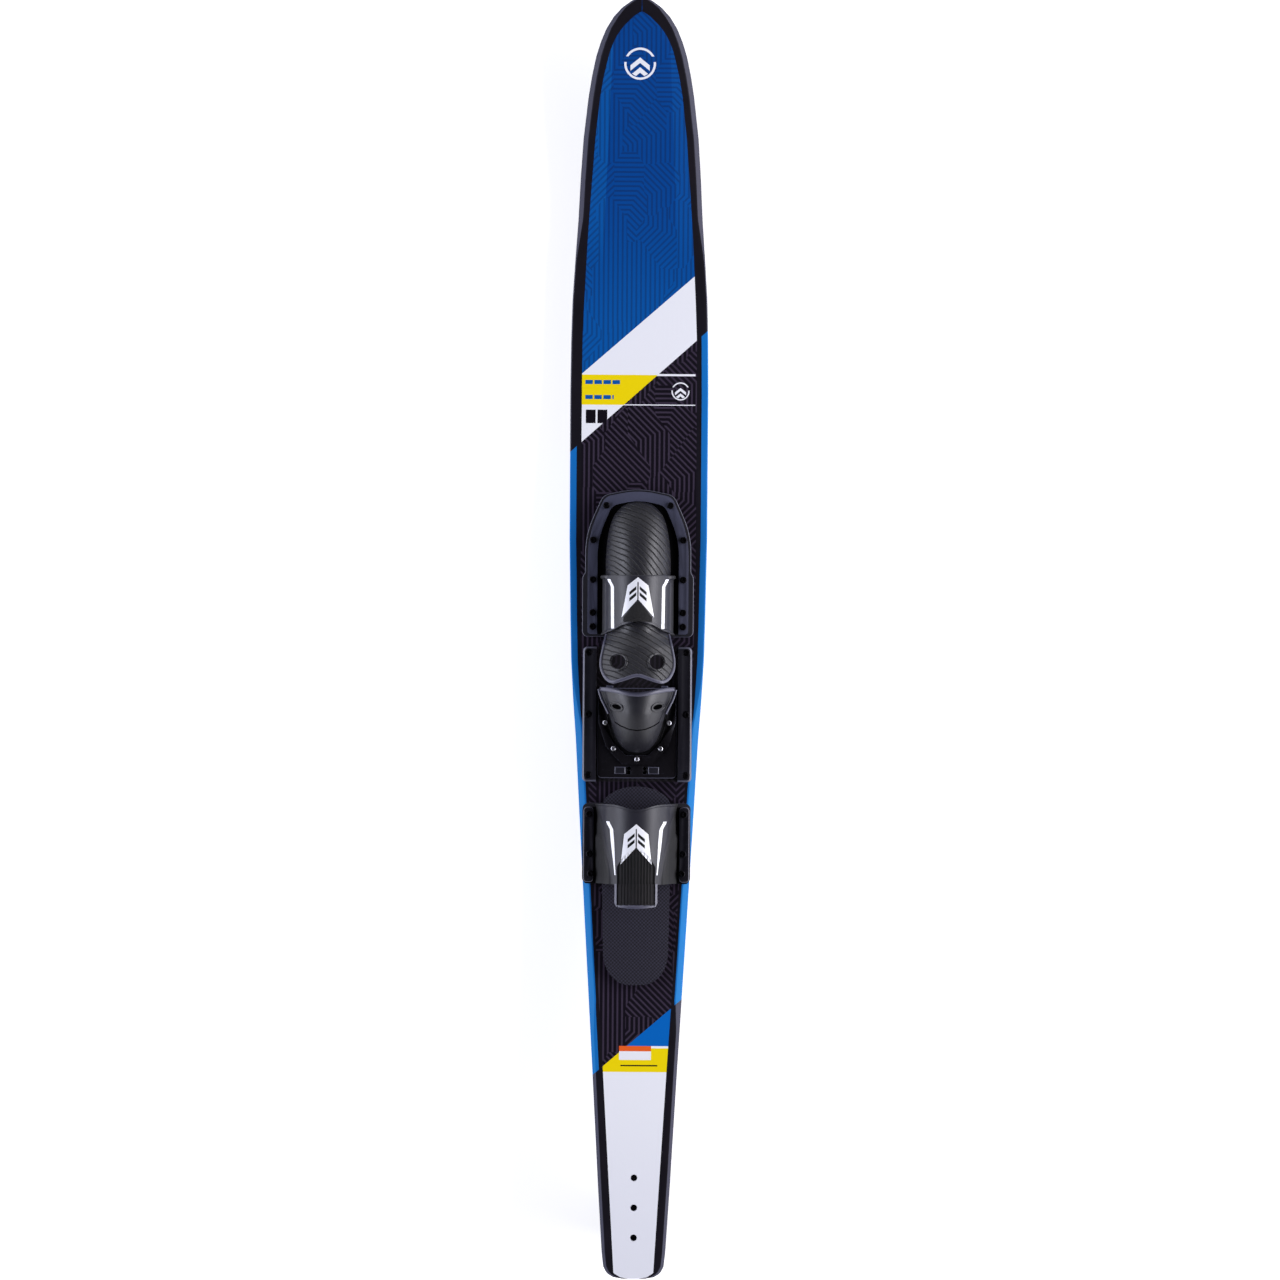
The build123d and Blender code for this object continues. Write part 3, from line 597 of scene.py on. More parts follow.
def rubber(look, name, centre=None, tone=None, rough=0.36, shine=0.5):
    """Moulded rubber; centre is where its arcs of fine grooves are struck from."""
    p = Paint(name)
    fine = p.noise(0.5, 2.0)
    soft = p.noise(14.0)
    relief = 0.12 * fine + 0.08 * soft
    shade = look.rubber if tone is None else tone
    tone = p.mix(soft * 0.5, shade, [min(c * 1.5, 1.0) for c in shade[:3]] + [1])
    if centre:
        across, up = p.x - centre[0], p.y - centre[1]
        wobble = p.noise(30.0) * 5.0
        away = p.math("SQRT", across * across + up * up) + wobble
        wave = p.fract(away / look.groove_pitch)
        groove = p.soft(abs(wave - 0.5), 0.34, 0.44)
        relief = relief + (1 - groove)
        # Painted shade: the grooves are painted near black, as shade falls in them.
        tone = p.mix(groove * 0.85, tone, look.groove_shade_and_outline)
        return p.done(tone, rough + 0.1 * soft + 0.45 * groove, relief, 0.6, specular=shine)
    return p.done(tone, rough + 0.12 * soft, relief, 0.35, specular=shine)


def up_facing(p, flat, sloped, steep, wall):
    """1 where a surface slopes between flat and upright, 0 on flats and on walls."""
    shape = p.node("ShaderNodeNewGeometry", output="Normal")
    split = p.node("ShaderNodeSeparateXYZ", {}, {0: shape})
    up = Channel(p, split.socket.node.outputs[2])
    return p.soft(up, flat, sloped) * p.soft(up, steep, wall)


def edge_highlight(p):
    """1 on the rounded edges of flat plates, where a painted highlight stands for the light they catch."""
    return up_facing(p, 0.98, 0.85, 0.15, 0.4)


def plastic(look, name, tone, rough, scuff=0.10, shine=0.5):
    """Moulded plastic with a fine spark-eroded grain, scuffs and a painted highlight on its rounded edges.
    """
    p = Paint(name)
    soft = p.noise(22.0)
    fine = p.noise(0.6, 2.0)
    marks = p.noise(2.0, 5.0, p.vector(p.x * 0.25, p.y, p.z)) > 0.66
    colour = p.mix(soft * 0.35 * shine * 2.0, tone, look.plastic_worn)
    colour = p.mix(marks * scuff, colour, look.scuff_and_highlight_grey)
    # Painted highlight: the rounded edges are painted light grey, as light catches them.
    colour = p.mix(edge_highlight(p) * 0.65, colour, look.scuff_and_highlight_grey)
    return p.done(colour, rough - 0.06 + 0.1 * soft + 0.05 * fine, fine, 0.05, specular=shine)


def strap_paint(look, name, front):
    """The stiff satin strap, its light side stripes, its badge, its woven inset and the painted shade on its
    sides.
    """
    p = Paint(name)
    side = abs(p.x)
    if front:
        top, shoulder, foot, notch = 83.0, 72.0, 29.8, 54.0
        stripe_x = 33.6 + (p.y - 43.0) * 0.012 + p.soft(p.y, 69.0, 81.0) * 4.6
        stripe = p.band(side, stripe_x - 2.0, stripe_x + 2.0) * p.band(p.y, 14.8, 80.5)
        slope, foot_x, shoulder_x = 0.8, 21.5, 13.8
    else:
        top, shoulder, foot, notch = -243.4, -256.7, -297.8, -273.8
        stripe_x = 30.2 + (p.y + 282.0) * 0.085 + p.soft(p.y, -252.0, -240.0) * 4.2
        width = 0.7 + p.soft(p.y, -310.0, -262.0) * 1.5
        stripe = (abs(side - stripe_x) < width) * p.band(p.y, -311.0, -240.5)
        slope, foot_x, shoulder_x = 0.83, 20.6, 16.0
    fall = (shoulder - foot) / (foot_x - shoulder_x)

    def shield(grow):
        inside = (p.y + side * slope < top + grow) * (p.y + side * 1.12 > notch - grow)
        return inside * ((p.y - shoulder) + (side - shoulder_x - grow) * fall < 0.0) * (p.y > foot - grow)

    badge, outline = shield(0.0), shield(1.1)
    fold = p.y + side * 0.85
    slits = p.either(p.band(fold, top - 14.5, top - 10.0), p.band(fold, top - 22.5, top - 18.0))
    slits = slits * p.band(side, 2.2, 11.4)
    slits = p.either(slits, (side < 0.8) * (fold < top - 6.0))
    badge = badge * (slits < 0.5)
    if front:
        weave = (p.y + side * 1.12 < notch - 2.5) * (p.y > 24.0) * (side < 19.0)
        threads = p.math("SINE", (p.x + p.y) * 1.9) * p.math("SINE", (p.x - p.y) * 1.9)
    else:
        weave = (p.y + side * side * 0.037 < notch - 2.8) * (side < 24.8)
        threads = p.math("SINE", p.x * math.pi / 2.0 + math.pi / 2.0)
    soft = p.noise(18.0)
    tone = p.mix(soft * 0.4, look.strap_grey, look.plastic_worn)
    # Painted shade: the strap's sides darken towards the flanges, where they fall into shade.
    skirt_shade = p.soft(side, 40.0, 50.0) if front else p.soft(side + p.y * -0.17, 83.0, 92.0)
    tone = p.mix(skirt_shade * 0.85, tone, look.shade_and_weave_black)
    # The woven inset's dark threads share the painted shade's near black.
    tone = p.mix(weave, tone, p.mix(threads * 0.5 + 0.5, look.shade_and_weave_black, look.foam_dark))
    # The badge's outline and slits take the same dark as the grooves' painted shade.
    tone = p.mix(outline, tone, look.groove_shade_and_outline)
    tone = p.mix(p.either(badge, stripe), tone, look.white)
    relief = badge * 0.8 + stripe * 0.6 + weave * (threads * 0.4 - 0.5) + p.noise(0.6) * 0.05
    rough = (0.36 if front else 0.42) + 0.1 * soft + 0.45 * weave + 0.3 * skirt_shade
    return p.done(tone, rough, relief, 0.4, specular=0.45 if front else 0.38)


def foam_paint(look, name, woven):
    """Foam sole: a woven emboss, or the maze moulded into it."""
    p = Paint(name)
    if woven:
        rows = p.math("SINE", p.x * 1.3) * p.math("SINE", p.y * 1.3)
        relief = rows * 0.6 + p.noise(0.8) * 0.3
        # Painted shade and highlight: the weave's low parts are painted darker and its high parts lighter,
        # following its relief.
        tone = p.mix(rows * 0.5 + 0.5, look.foam_dark, look.pad_light)
    else:
        lines = maze(p, look.maze_pitch)
        relief = lines + p.noise(0.8) * 0.2
        # Painted shade and highlight: the maze's raised lines are painted lighter than the low foam,
        # following its relief.
        tone = p.mix(lines, look.foam_dark, look.foam_light)
    tone = p.mix(p.noise(30.0) * 0.25, tone, look.foam_light)
    return p.done(tone, 0.72 + 0.15 * p.noise(5.0), relief, 0.3, sheen=0.03, specular=0.2)


def metal(name, tone, rough):
    """Turned metal with fine lathe rings and small nicks."""
    p = Paint(name)
    fine = p.noise(0.35, 4.0)
    nicks = p.noise(1.4, 5.0) > 0.7
    colour = p.mix(nicks * 0.3, tone, [c * 0.4 for c in tone[:3]] + [1])
    return p.done(colour, rough + 0.15 * fine, fine, 0.05, metallic=1.0)


# ------------------------------------------------------------------ the ski
def cross_rows():
    """The heights along the ski where its section is set out, closer together at both ends."""
    rows = [NOSE - 0.1 * k * k for k in range(1, 22)]
    y = rows[-1] - 6.0
    while y > -800.0:
        rows.append(y)
        y -= 9.0
    return rows + [-808.0, -815.0, -821.0, -827.0, -833.0, -837.0, -840.0, -843.0, -845.0, -847.0, TAIL]


def zone_edges(y):
    """Half widths of the rim's inner band and of the printed panel."""
    w = max(along(EDGE, y), 0.3)
    rim = w - min(along(BEVEL, y), w * 0.3)
    band = max(min(w - BLUE_RIM, rim * 0.97), rim * 0.6)
    return band, max(min(along(PANEL, y), band * 0.96), rim * 0.02)


def deck_section(y):
    """The right half of the deck's section, from the middle out and down to the part line: X, Z, zone."""
    w = max(along(EDGE, y), 0.3)
    half = (deck_height(y) - base_height(y)) / 2
    bevel = min(along(BEVEL, y), w * 0.3)
    rim = w - bevel
    band, panel = zone_edges(y)
    facet = min(along(FACET, y), panel * 0.8)
    drop = min(along(FACET_DROP, y), half * 0.34)
    depth = min(max(bevel * 0.42, 0.8), half * 0.5)
    top = deck_height(y)

    def z(x):
        return top - drop * max(0.0, x - facet) / max(rim - facet, 0.5)

    inside = [0.0, facet * 0.33, facet * 0.66, facet - min(0.9, facet * 0.1), facet + 0.9,
              (facet + panel) / 2]
    points = [(x, z(x), 0) for x in inside]
    points += [(panel, z(panel), 1), ((panel + band) / 2, z((panel + band) / 2), 1), (band, z(band), 2)]
    points += [(rim - 0.5, z(rim - 0.5), 2), (rim + 0.4, z(rim) - 0.25, 2)]
    points += [(rim + bevel * 0.5, z(rim) - depth * 0.5, 2), (w - 0.4, z(rim) - depth + 0.3, 2)]
    points += [(w, z(rim) - depth - 0.5, 2), (w, top - half + 0.6, 2), (w - 0.5, top - half, 2)]
    return points


def base_section(y):
    """The right half of the base's section, from the part line down and in to the middle: X, Z."""
    w = max(along(EDGE, y), 0.3)
    low, middle = base_height(y), middle_height(y)
    flat = min(58.0, w * 0.8)
    rise = 3.0 * smooth((w - 30.0) / 30.0)
    points = [(w - 0.5, middle), (w, middle - 0.6), (w, low + 1.4), (w - 0.4, low + 0.4), (w - 1.4, low)]
    points += [(flat, low)]
    points += [(flat * (1 - k / 6), low + rise * (1 - (1 - k / 6) ** 2)) for k in range(1, 7)]
    return points


def loop_piece(name, section):
    """A closed piece lofted along Y through mirrored half sections."""
    rows = cross_rows()
    rings = []
    for y in rows:
        half = [(p[0], p[1]) for p in section(y)] + [(0.0, middle_height(y))]
        rings.append(half + [(-x, z) for x, z in reversed(half[1:-1])])
    count = len(rings[0])
    ends = {0: rows[0], len(rows) + 1: rows[-1]}

    def place(u, v):
        k = round(v * (len(rows) + 1))
        i = round(u * count) % count
        if k in ends:
            y = ends[k]
            return (0.0, y + (0.1 if k == 0 else 0.0), middle_height(y))
        x, z = rings[k - 1][i]
        return (x, rows[k - 1], z)

    obj = sheet(name, count, len(rows) + 1, place)
    return tidy_faces(obj, 0.0005)


def deck_piece():
    """The deck and its side walls, with its zones as material slots: print, inner rim, outer rim."""
    obj = loop_piece("deck_top", deck_section)
    empty_slots(obj, 3)
    for polygon in obj.data.polygons:
        x, y = abs(polygon.center.x), polygon.center.y
        band, panel = zone_edges(y)
        up = polygon.normal.z > 0.3
        polygon.material_index = 0 if up and x < panel else 1 if up and x < band else 2
    return obj


def base_piece():
    """The base shell with its shallow tunnel."""
    return loop_piece("ski_base", lambda y: base_section(y)[::-1])


# ------------------------------------------------------------------ arched rubber shells
# Each station is Y, half width, height of a half ellipse standing on the shell's base.
TOE = [(184.5, 0.5, 0.5), (184.0, 7.0, 4.5), (182.0, 14.5, 9.0), (178.0, 21.5, 15.0), (164.0, 33.0, 30.0),
       (140.0, 40.0, 44.0), (110.0, 43.0, 54.0), (80.0, 43.0, 62.0), (40.0, 43.0, 70.0), (6.0, 43.0, 76.0)]
STRAP = [(130.0, 44.0, 50.0), (110.0, 47.4, 58.4), (80.0, 47.4, 66.4), (40.0, 47.4, 74.4), (0.0, 47.4, 81.4)]
HEEL = [(-58.0, 52.0, 75.0), (-66.0, 51.0, 74.0), (-78.0, 47.4, 72.5), (-90.0, 41.5, 69.0),
        (-98.0, 37.8, 66.0), (-109.0, 34.4, 59.0), (-121.0, 31.0, 48.5), (-134.0, 25.6, 33.5),
        (-142.0, 19.6, 21.5),
        (-147.0, 13.0, 12.5), (-149.6, 5.0, 5.0), (-150.0, 0.4, 0.4)]
REAR = [(-217.6, 46.0, 58.0), (-270.0, 47.0, 64.0), (-324.0, 45.0, 70.0)]
TONGUE = [(6.0, 41.6, 87.2, 33.0), (-26.0, 50.0, 103.0, 36.0), (-60.0, 52.0, 119.0, 34.0)]
SHELL_BASE, HEEL_BASE, REAR_BASE = 4.0, 12.4, 3.0
RUBBER_WALL, STRAP_WALL, TAB_WALL = 4.0, 3.8, 3.6


def station(table, y):
    """Half width and height at y, on a smooth curve through the stations."""
    ys = [row[0] for row in table]
    y = min(max(y, ys[-1]), ys[0])
    i = next((k for k in range(len(ys) - 1) if y >= ys[k + 1]), len(ys) - 2)
    p = [table[max(i - 1, 0)], table[i], table[i + 1], table[min(i + 2, len(ys) - 1)]]
    t = (ys[i] - y) / (ys[i] - ys[i + 1])
    out = []
    for c in range(1, len(table[0])):
        gap = p[2][0] - p[1][0]
        before = (p[2][c] - p[0][c]) / (p[2][0] - p[0][0]) * gap
        after = (p[3][c] - p[1][c]) / (p[3][0] - p[1][0]) * gap
        out.append(p[1][c] * (2 * t ** 3 - 3 * t ** 2 + 1) + before * (t ** 3 - 2 * t ** 2 + t)
                   + p[2][c] * (3 * t ** 2 - 2 * t ** 3) + after * (t ** 3 - t ** 2))
    return out


def arch_point(table, base, y, angle, lift=0.0):
    """A point on an arch; angle runs from 0 at +X over the top to pi."""
    half, height = station(table, y)
    normal = Vector((math.cos(angle) / max(half, 1), 0, math.sin(angle) / max(height, 1))).normalized()
    return Vector((half * math.cos(angle), y, base + height * math.sin(angle))) + normal * lift


def dome(name, table, base, columns, rows, front, rear):
    """A rubber shell over the foot; front and rear give its ends across its width."""
    def place(u, v):
        first, last = front(u), rear(u)
        return arch_point(table, base, first + (last - first) * v, math.pi * (1 - u))

    obj = sheet(name, columns, rows, place)
    edit(obj, lambda: bpy.ops.mesh.remove_doubles(threshold=0.02))
    return thicken(obj, RUBBER_WALL)


def thicken(obj, wall):
    """Points an open sheet's faces away from the ground and gives it a wall below them."""
    if sum(p.normal.z * p.area for p in obj.data.polygons) < 0:
        edit(obj, lambda: bpy.ops.mesh.flip_normals())
    return apply_modifier(obj, "SOLIDIFY", thickness=wall, offset=-1.0)


def bead(name, points, radius, closed=False):
    """A rounded bead of rubber laid along a line of points."""
    select_only()
    curve = bpy.data.curves.new(name, "CURVE")
    curve.dimensions = "3D"
    curve.bevel_depth = radius
    curve.bevel_resolution = 3
    curve.use_fill_caps = True
    spline = curve.splines.new("NURBS")
    spline.points.add(len(points) - 1)
    for target, point in zip(spline.points, points):
        target.co = (*point, 1.0)
    spline.use_cyclic_u = closed
    spline.use_endpoint_u = not closed
    spline.order_u = 3
    spline.resolution_u = 3
    obj = bpy.data.objects.new(name, curve)
    bpy.context.scene.collection.objects.link(obj)
    select_only(obj)
    bpy.ops.object.convert(target="MESH")
    return bpy.context.object


RING_PLAN = [(67.0, 7.5, 5), (67.0, 138.0, 32), (44.5, 190.3, 9), (0.0, 199.4, 30)]
PLATE_PLAN = [(70.0, 4.0, 5), (74.0, 9.0, 3), (74.0, 84.0, 3), (70.4, 89.0, 3), (70.4, 140.0, 32),
              (47.2, 192.6, 9), (0.0, 202.3, 30)]
RING_SCREWS = [(42.8, 178.6), (60.3, 132.7), (60.3, 80.0), (60.3, 36.2), (60.3, 17.5)]
RING_BORE = 2.6


def ring_piece():
    """The horseshoe ring: a flat band with rounded edges, its screw holes bored."""
    ring = slab("ring", rounded(both_sides(RING_PLAN), 8.0, 10), 6.0, 10.0, 0)
    inner = [(54.0, -20.0, 1), (54.0, 134.0, 30), (35.0, 178.6, 9), (0.0, 186.0, 24)]
    cut(ring, slab("ring_room", rounded(both_sides(inner), 8.0, 10), 5.0, 11.0, 0))
    for x, y in RING_SCREWS:
        for side in (1, -1):
            cut(ring, rod(side * x, y, 5.0, 11.0, RING_BORE, 24))
    return soften(ring, 1.0, 3, 50)


def toe_piece():
    """The toe dome standing on its flat clamped flange."""
    shell = dome("toe_shell_rubber", TOE, SHELL_BASE, 72, 76,
                 front=lambda u: 184.5, rear=lambda u: 7.0 + 21.0 * math.sin(math.pi * u) ** 2)
    flange = from_cad("toe_shell")
    bottom = bpy.data.objects.new("flange", flange.data)
    bpy.context.scene.collection.objects.link(bottom)
    bpy.data.objects.remove(flange)
    edit(bottom, lambda: bpy.ops.mesh.bisect(plane_co=(0, 0, 6.0), plane_no=(0, 0, 1), clear_outer=True,
                                             use_fill=True))
    return join(shell, in_second_slot(bottom))


def in_second_slot(obj):
    """Puts a part of a piece in the piece's second material."""
    empty_slots(obj)
    for polygon in obj.data.polygons:
        polygon.material_index = 1
    return obj


def strap_piece():
    """The instep strap: ears at its front corners, raised rim at its rear edge, sunk side channels."""
    low = math.asin(4.0 / 75.0)
    rear_edge = [(0.0, 25.5), (18.0, 20.5), (36.0, 11.3), (48.4, 6.0)]

    def rear(x):
        x = abs(x)
        for (x0, y0), (x1, y1) in zip(rear_edge, rear_edge[1:]):
            if x <= x1:
                t = smooth((x - x0) / (x1 - x0)) * 0.5 + (x - x0) / (x1 - x0) * 0.5
                return y0 + (y1 - y0) * t
        return rear_edge[-1][1]

    def place(u, v):
        angle = low + (math.pi - 2 * low) * (1 - u)
        x = 47.4 * math.cos(angle)
        last = rear(x)
        y = 86.0 + (last - 86.0) * v
        side = abs(x)
        rim = smooth((3.2 - (y - last)) / 1.0) * 1.7
        ear = smooth((side - 40.4) / 1.6) * smooth((3.4 - abs(y - 83.4)) / 2.0) * 2.8
        channel = smooth((2.6 - abs(side - 41.8)) / 1.4) * smooth((78.0 - y) / 4.0) * 1.1
        edge = smooth((1.6 - (86.0 - y)) / 1.6) * 0.7
        return arch_point(STRAP, SHELL_BASE, y, angle, rim + ear - channel - edge)

    return soften(thicken(sheet("instep_strap_moulded", 190, 84, place), STRAP_WALL), 0.7, 2, 60)


def tongue_height(x, y):
    """The tongue's top surface: it leaves the toe dome under the strap and opens to a curved strip."""
    half, crown, drop = station(TONGUE, y)
    radius = (half * half + drop * drop) / (2 * drop)
    strip = crown - radius + math.sqrt(max(radius * radius - x * x, 1.0))
    half, height = station(TOE, max(y, 6.0))
    under = SHELL_BASE + height * math.sqrt(max(1 - (x / half) ** 2, 0.02))
    return under + (strip - under) * smooth((14.0 - y) / 24.0)


TONGUE_PLAN = [(0, 27.0), (20, 22.5), (38, 14.0), (41.5, 7.0), (45, -8), (49, -28), (48.2, -40),
               (42, -52), (34, -57), (22, -54), (0, -46.4)]
FINGER_HOLE, FINGER_R = (25.2, -28.9), 9.2
CUTTER_TOP = 170.0


def ring_points(x, y, wide, tall, turn, height, count=28, lift=0.0):
    """Points round an ellipse laid on a surface."""
    out = []
    for k in range(count):
        a = 2 * math.pi * k / count
        dx, dy = wide * math.cos(a), tall * math.sin(a)
        px = x + dx * math.cos(turn) - dy * math.sin(turn)
        py = y + dx * math.sin(turn) + dy * math.cos(turn)
        out.append((px, py, height(px, py) + lift))
    return out


def tongue_piece():
    """The tongue over the instep, with rimmed edges and two finger holes."""
    def place(u, v):
        x, y = -54.0 + 108.0 * u, 28.5 - 89.0 * v
        return (x, y, tongue_height(x, y))

    obj = thicken(sheet("tongue_rubber", 120, 96, place), RUBBER_WALL)
    plan = rounded(both_sides(TONGUE_PLAN), 7.0, 5)
    cut(obj, slab("plan", plan, -5.0, CUTTER_TOP, 0), "INTERSECT")
    for side in (1, -1):
        cut(obj, rod(side * FINGER_HOLE[0], FINGER_HOLE[1], 40, 160, FINGER_R, 48))
    outline = rounded(both_sides([(x * 0.983, y + 1.0 if y < -45 else y) for x, y in TONGUE_PLAN]), 7.0, 5)
    border = [(x, y, tongue_height(x, y) - 0.2) for x, y in outline if y < 8.0]
    start = min(range(len(border)), key=lambda i: (border[i][0] < 0, -border[i][1]))
    border = border[start:] + border[:start]
    rings = [in_second_slot(bead("rim", border, 2.3))]
    for side in (1, -1):
        hole = (side * FINGER_HOLE[0], FINGER_HOLE[1])
        rings.append(bead("ring", ring_points(*hole, 11.0, 11.0, 0, tongue_height, lift=0.1), 1.7, True))
    return join(obj, *rings)


def hood_height(x, y, lift=0.0):
    """The heel hood's outside above a plan point."""
    half, height = station(HEEL, y)
    return HEEL_BASE + height * math.sqrt(max(1 - (x / half) ** 2, 0.0)) + lift


FLAP_SEAM = [(56, -70), (46.5, -86), (39, -98), (31, -106.8), (22, -112.8), (11, -117.4), (0, -119)]


def front_edge(across):
    """Where the hood's front edge is; across is 0 on the middle line and 1 at the side."""
    return -65.0 - 6.5 * (1 - smooth(across * 1.1))


def hood_piece(name):
    """The whole heel hood, open in front, its front edge dipped in the middle."""
    return dome(name, HEEL, HEEL_BASE, 84, 80, front=lambda u: front_edge(abs(2 * u - 1)),
                rear=lambda u: -150.0)


def flap_cutter(name, grow, low):
    """The space the flap takes, above its curved seam."""
    points = [(60, -50)] + [(x + grow * 0.5, y - grow) for x, y in FLAP_SEAM]
    return slab(name, both_sides(points), low, CUTTER_TOP, 0)


def flap_piece():
    """The folding upper flap: thick rounded rim, corner wings and two slanted eye holes."""
    flap = hood_piece("flap_rubber")
    cut(flap, flap_cutter("flap_room", 0.0, 44.0), "INTERSECT")
    parts = []
    for side in (1, -1):
        turn = math.radians(side * 16)
        x, y = side * 27.3, -88.4
        hole = slab("eye", [(px, py) for px, py, _ in
                            ring_points(x, y, 6.2, 3.2, turn, lambda a, b: 0.0)], 30, 160, 0)
        cut(flap, hole)
        lid = ring_points(x, y, 8.8, 5.2, turn, hood_height, lift=-0.3)
        parts.append(bead("lid", lid, 1.4, True))
    rim = []
    for k in range(41):
        across = (k - 20) / 20
        y = front_edge(abs(across)) - 0.4
        x = across * 50.0
        rim.append((x, y, max(hood_height(across * 49.0, y) - 0.6, 47.0)))
    parts.append(in_second_slot(bead("front_rim", rim, 3.0)))
    for side in (1, -1):
        line = []
        for k in range(9):
            y = -65.4 - 4.0 * k
            half = station(HEEL, y)[0]
            line.append((side * (half - 0.3), y, 46.6 - 0.15 * k))
        parts.append(in_second_slot(bead("side_rim", line, 1.9)))
    return join(flap, *parts)


def cup_piece():
    """The fixed heel cup on its clamped flange."""
    cup = hood_piece("cup_rubber")
    cut(cup, flap_cutter("seam_room", 1.3, 42.8))
    foot = rounded(both_sides([(48.6, -71), (45.6, -86), (40.0, -101), (36.6, -118), (31.4, -134),
                               (23.0, -147), (10, -153.4), (0, -154.2)]), 6.0, 4)
    flange = slab("foot", foot, 12.05, 14.0, 0.5)
    heel_room = slab("heel_room", both_sides([(36, -60), (32, -96), (24, -124), (9, -138)]), 10, 20, 0)
    cut(flange, heel_room)
    lip = []
    for k in range(33):
        y = -72.0 - 76.0 * min(k, 32 - k) / 16
        half = station(HEEL, y)[0]
        side = 1 if k <= 16 else -1
        lip.append((side * (half + 0.6 if k != 16 else 0.0), y if k != 16 else -151.0, 14.6))
    return join(cup, in_second_slot(flange), in_second_slot(bead("cup_lip", lip, 0.7)))


REAR_WING = [(44.0, -222.0), (69.2, -222.0), (69.2, -324.0), (44.0, -324.0)]


def rear_strap_piece():
    """The rear strap: an arch that dips at its front edge, with smooth side flanges."""
    low = math.asin(2.5 / 64.0)

    def place(u, v):
        angle = low + (math.pi - 2 * low) * (1 - u)
        x = 46.0 * math.cos(angle)
        first = -217.8 - 6.5 * (1 - smooth(abs(x) / 34.0))
        last = -323.6
        y = first + (last - first) * v
        side = abs(x)
        rim = smooth((3.0 - (first - y)) / 1.2) * 1.3
        line = 45.0 - 15.0 * smooth((-222.0 - y) / 95.0)
        channel = smooth((3.4 - abs(side - line - 3.5)) / 1.6) * 2.4
        arch = -276.6 - 22.0 * (side / 24.4) ** 2
        ribs = smooth((22.0 - side) / 2.0) * (0.5 + 0.5 * math.cos(x * math.pi / 2.0)) * 0.8
        sunk = smooth((arch - y) / 2.0) * smooth((24.8 - side) / 1.2) * (1.3 - ribs)
        wall = smooth((2.0 - abs(side - 26.2)) / 1.2) * smooth((-296.0 - y) / 6.0) * 0.9
        point = arch_point(REAR, REAR_BASE, y, angle, rim - channel - sunk + wall)
        flare = 11.0 * max(0.0, 1.0 - (point.z - REAR_BASE) / 24.0) ** 2
        point.x += math.copysign(flare, point.x)
        return point

    obj = thicken(sheet("rear_strap_moulded", 230, 104, place), STRAP_WALL)
    flanges = []
    for side in (1, -1):
        outline = [(side * x, y) for x, y in REAR_WING]
        if side < 0:
            outline.reverse()
        flanges.append(in_second_slot(slab("wing", rounded(outline, 3.0, 3), 3.0, 5.0, 0.5)))
        ramp = [(side * 46.4, y, 5.4) for y in range(-222, -324, -10)]
        flanges.append(bead("fillet", ramp, 1.7))
    return join(obj, *flanges)


TAB_HALF = 28.4


def rear_tab_piece():
    """The grip tab behind the strap, ribbed lengthwise, with a raised rim round its end."""
    def place(u, v):
        y = -322.4 - 29.4 * v
        half = TAB_HALF * (1 - 0.08 * smooth((v - 0.8) / 0.2) ** 2)
        x = half * (2 * u - 1)
        crown = 72.6 + 6.0 * v
        bend = 11.0 * (abs(x) / TAB_HALF) ** 2
        ribs = smooth((22.0 - abs(x)) / 2.0) * (0.5 + 0.5 * math.cos(x * math.pi / 2.0)) * 0.8
        ribs *= smooth((0.88 - v) / 0.06)
        lip = smooth((v - 0.88) / 0.06) * 2.0 + smooth((abs(x) - 24.0) / 1.4) * 1.8
        return (x, y - 2.5 * (1 - (abs(x) / TAB_HALF) ** 2) * v, crown - bend + min(lip, 2.4) + ribs)

    obj = soften(thicken(sheet("rear_tab_rubber", 116, 46, place), TAB_WALL), 1.0, 3, 60)
    empty_slots(obj)
    for polygon in obj.data.polygons:
        x, y, _ = polygon.center
        polygon.material_index = 1 if abs(x) > 25.4 or y < -350.2 else 0
    return obj


def foam_bed(name, outline, low, high, edge=1.6):
    """A flat foam sole with a rounded edge."""
    obj = slab(name, outline, low, high, 0)
    edit(obj, lambda: bpy.ops.mesh.quads_convert_to_tris())
    return soften(obj, edge, 3, 60)


# ------------------------------------------------------------------ settings a user may change
def colour_setting(name, description, value):
    """A colour property."""
    return bpy.props.FloatVectorProperty(name=name, description=description, default=value, size=4,
                                         subtype="COLOR", min=0.0, max=1.0)


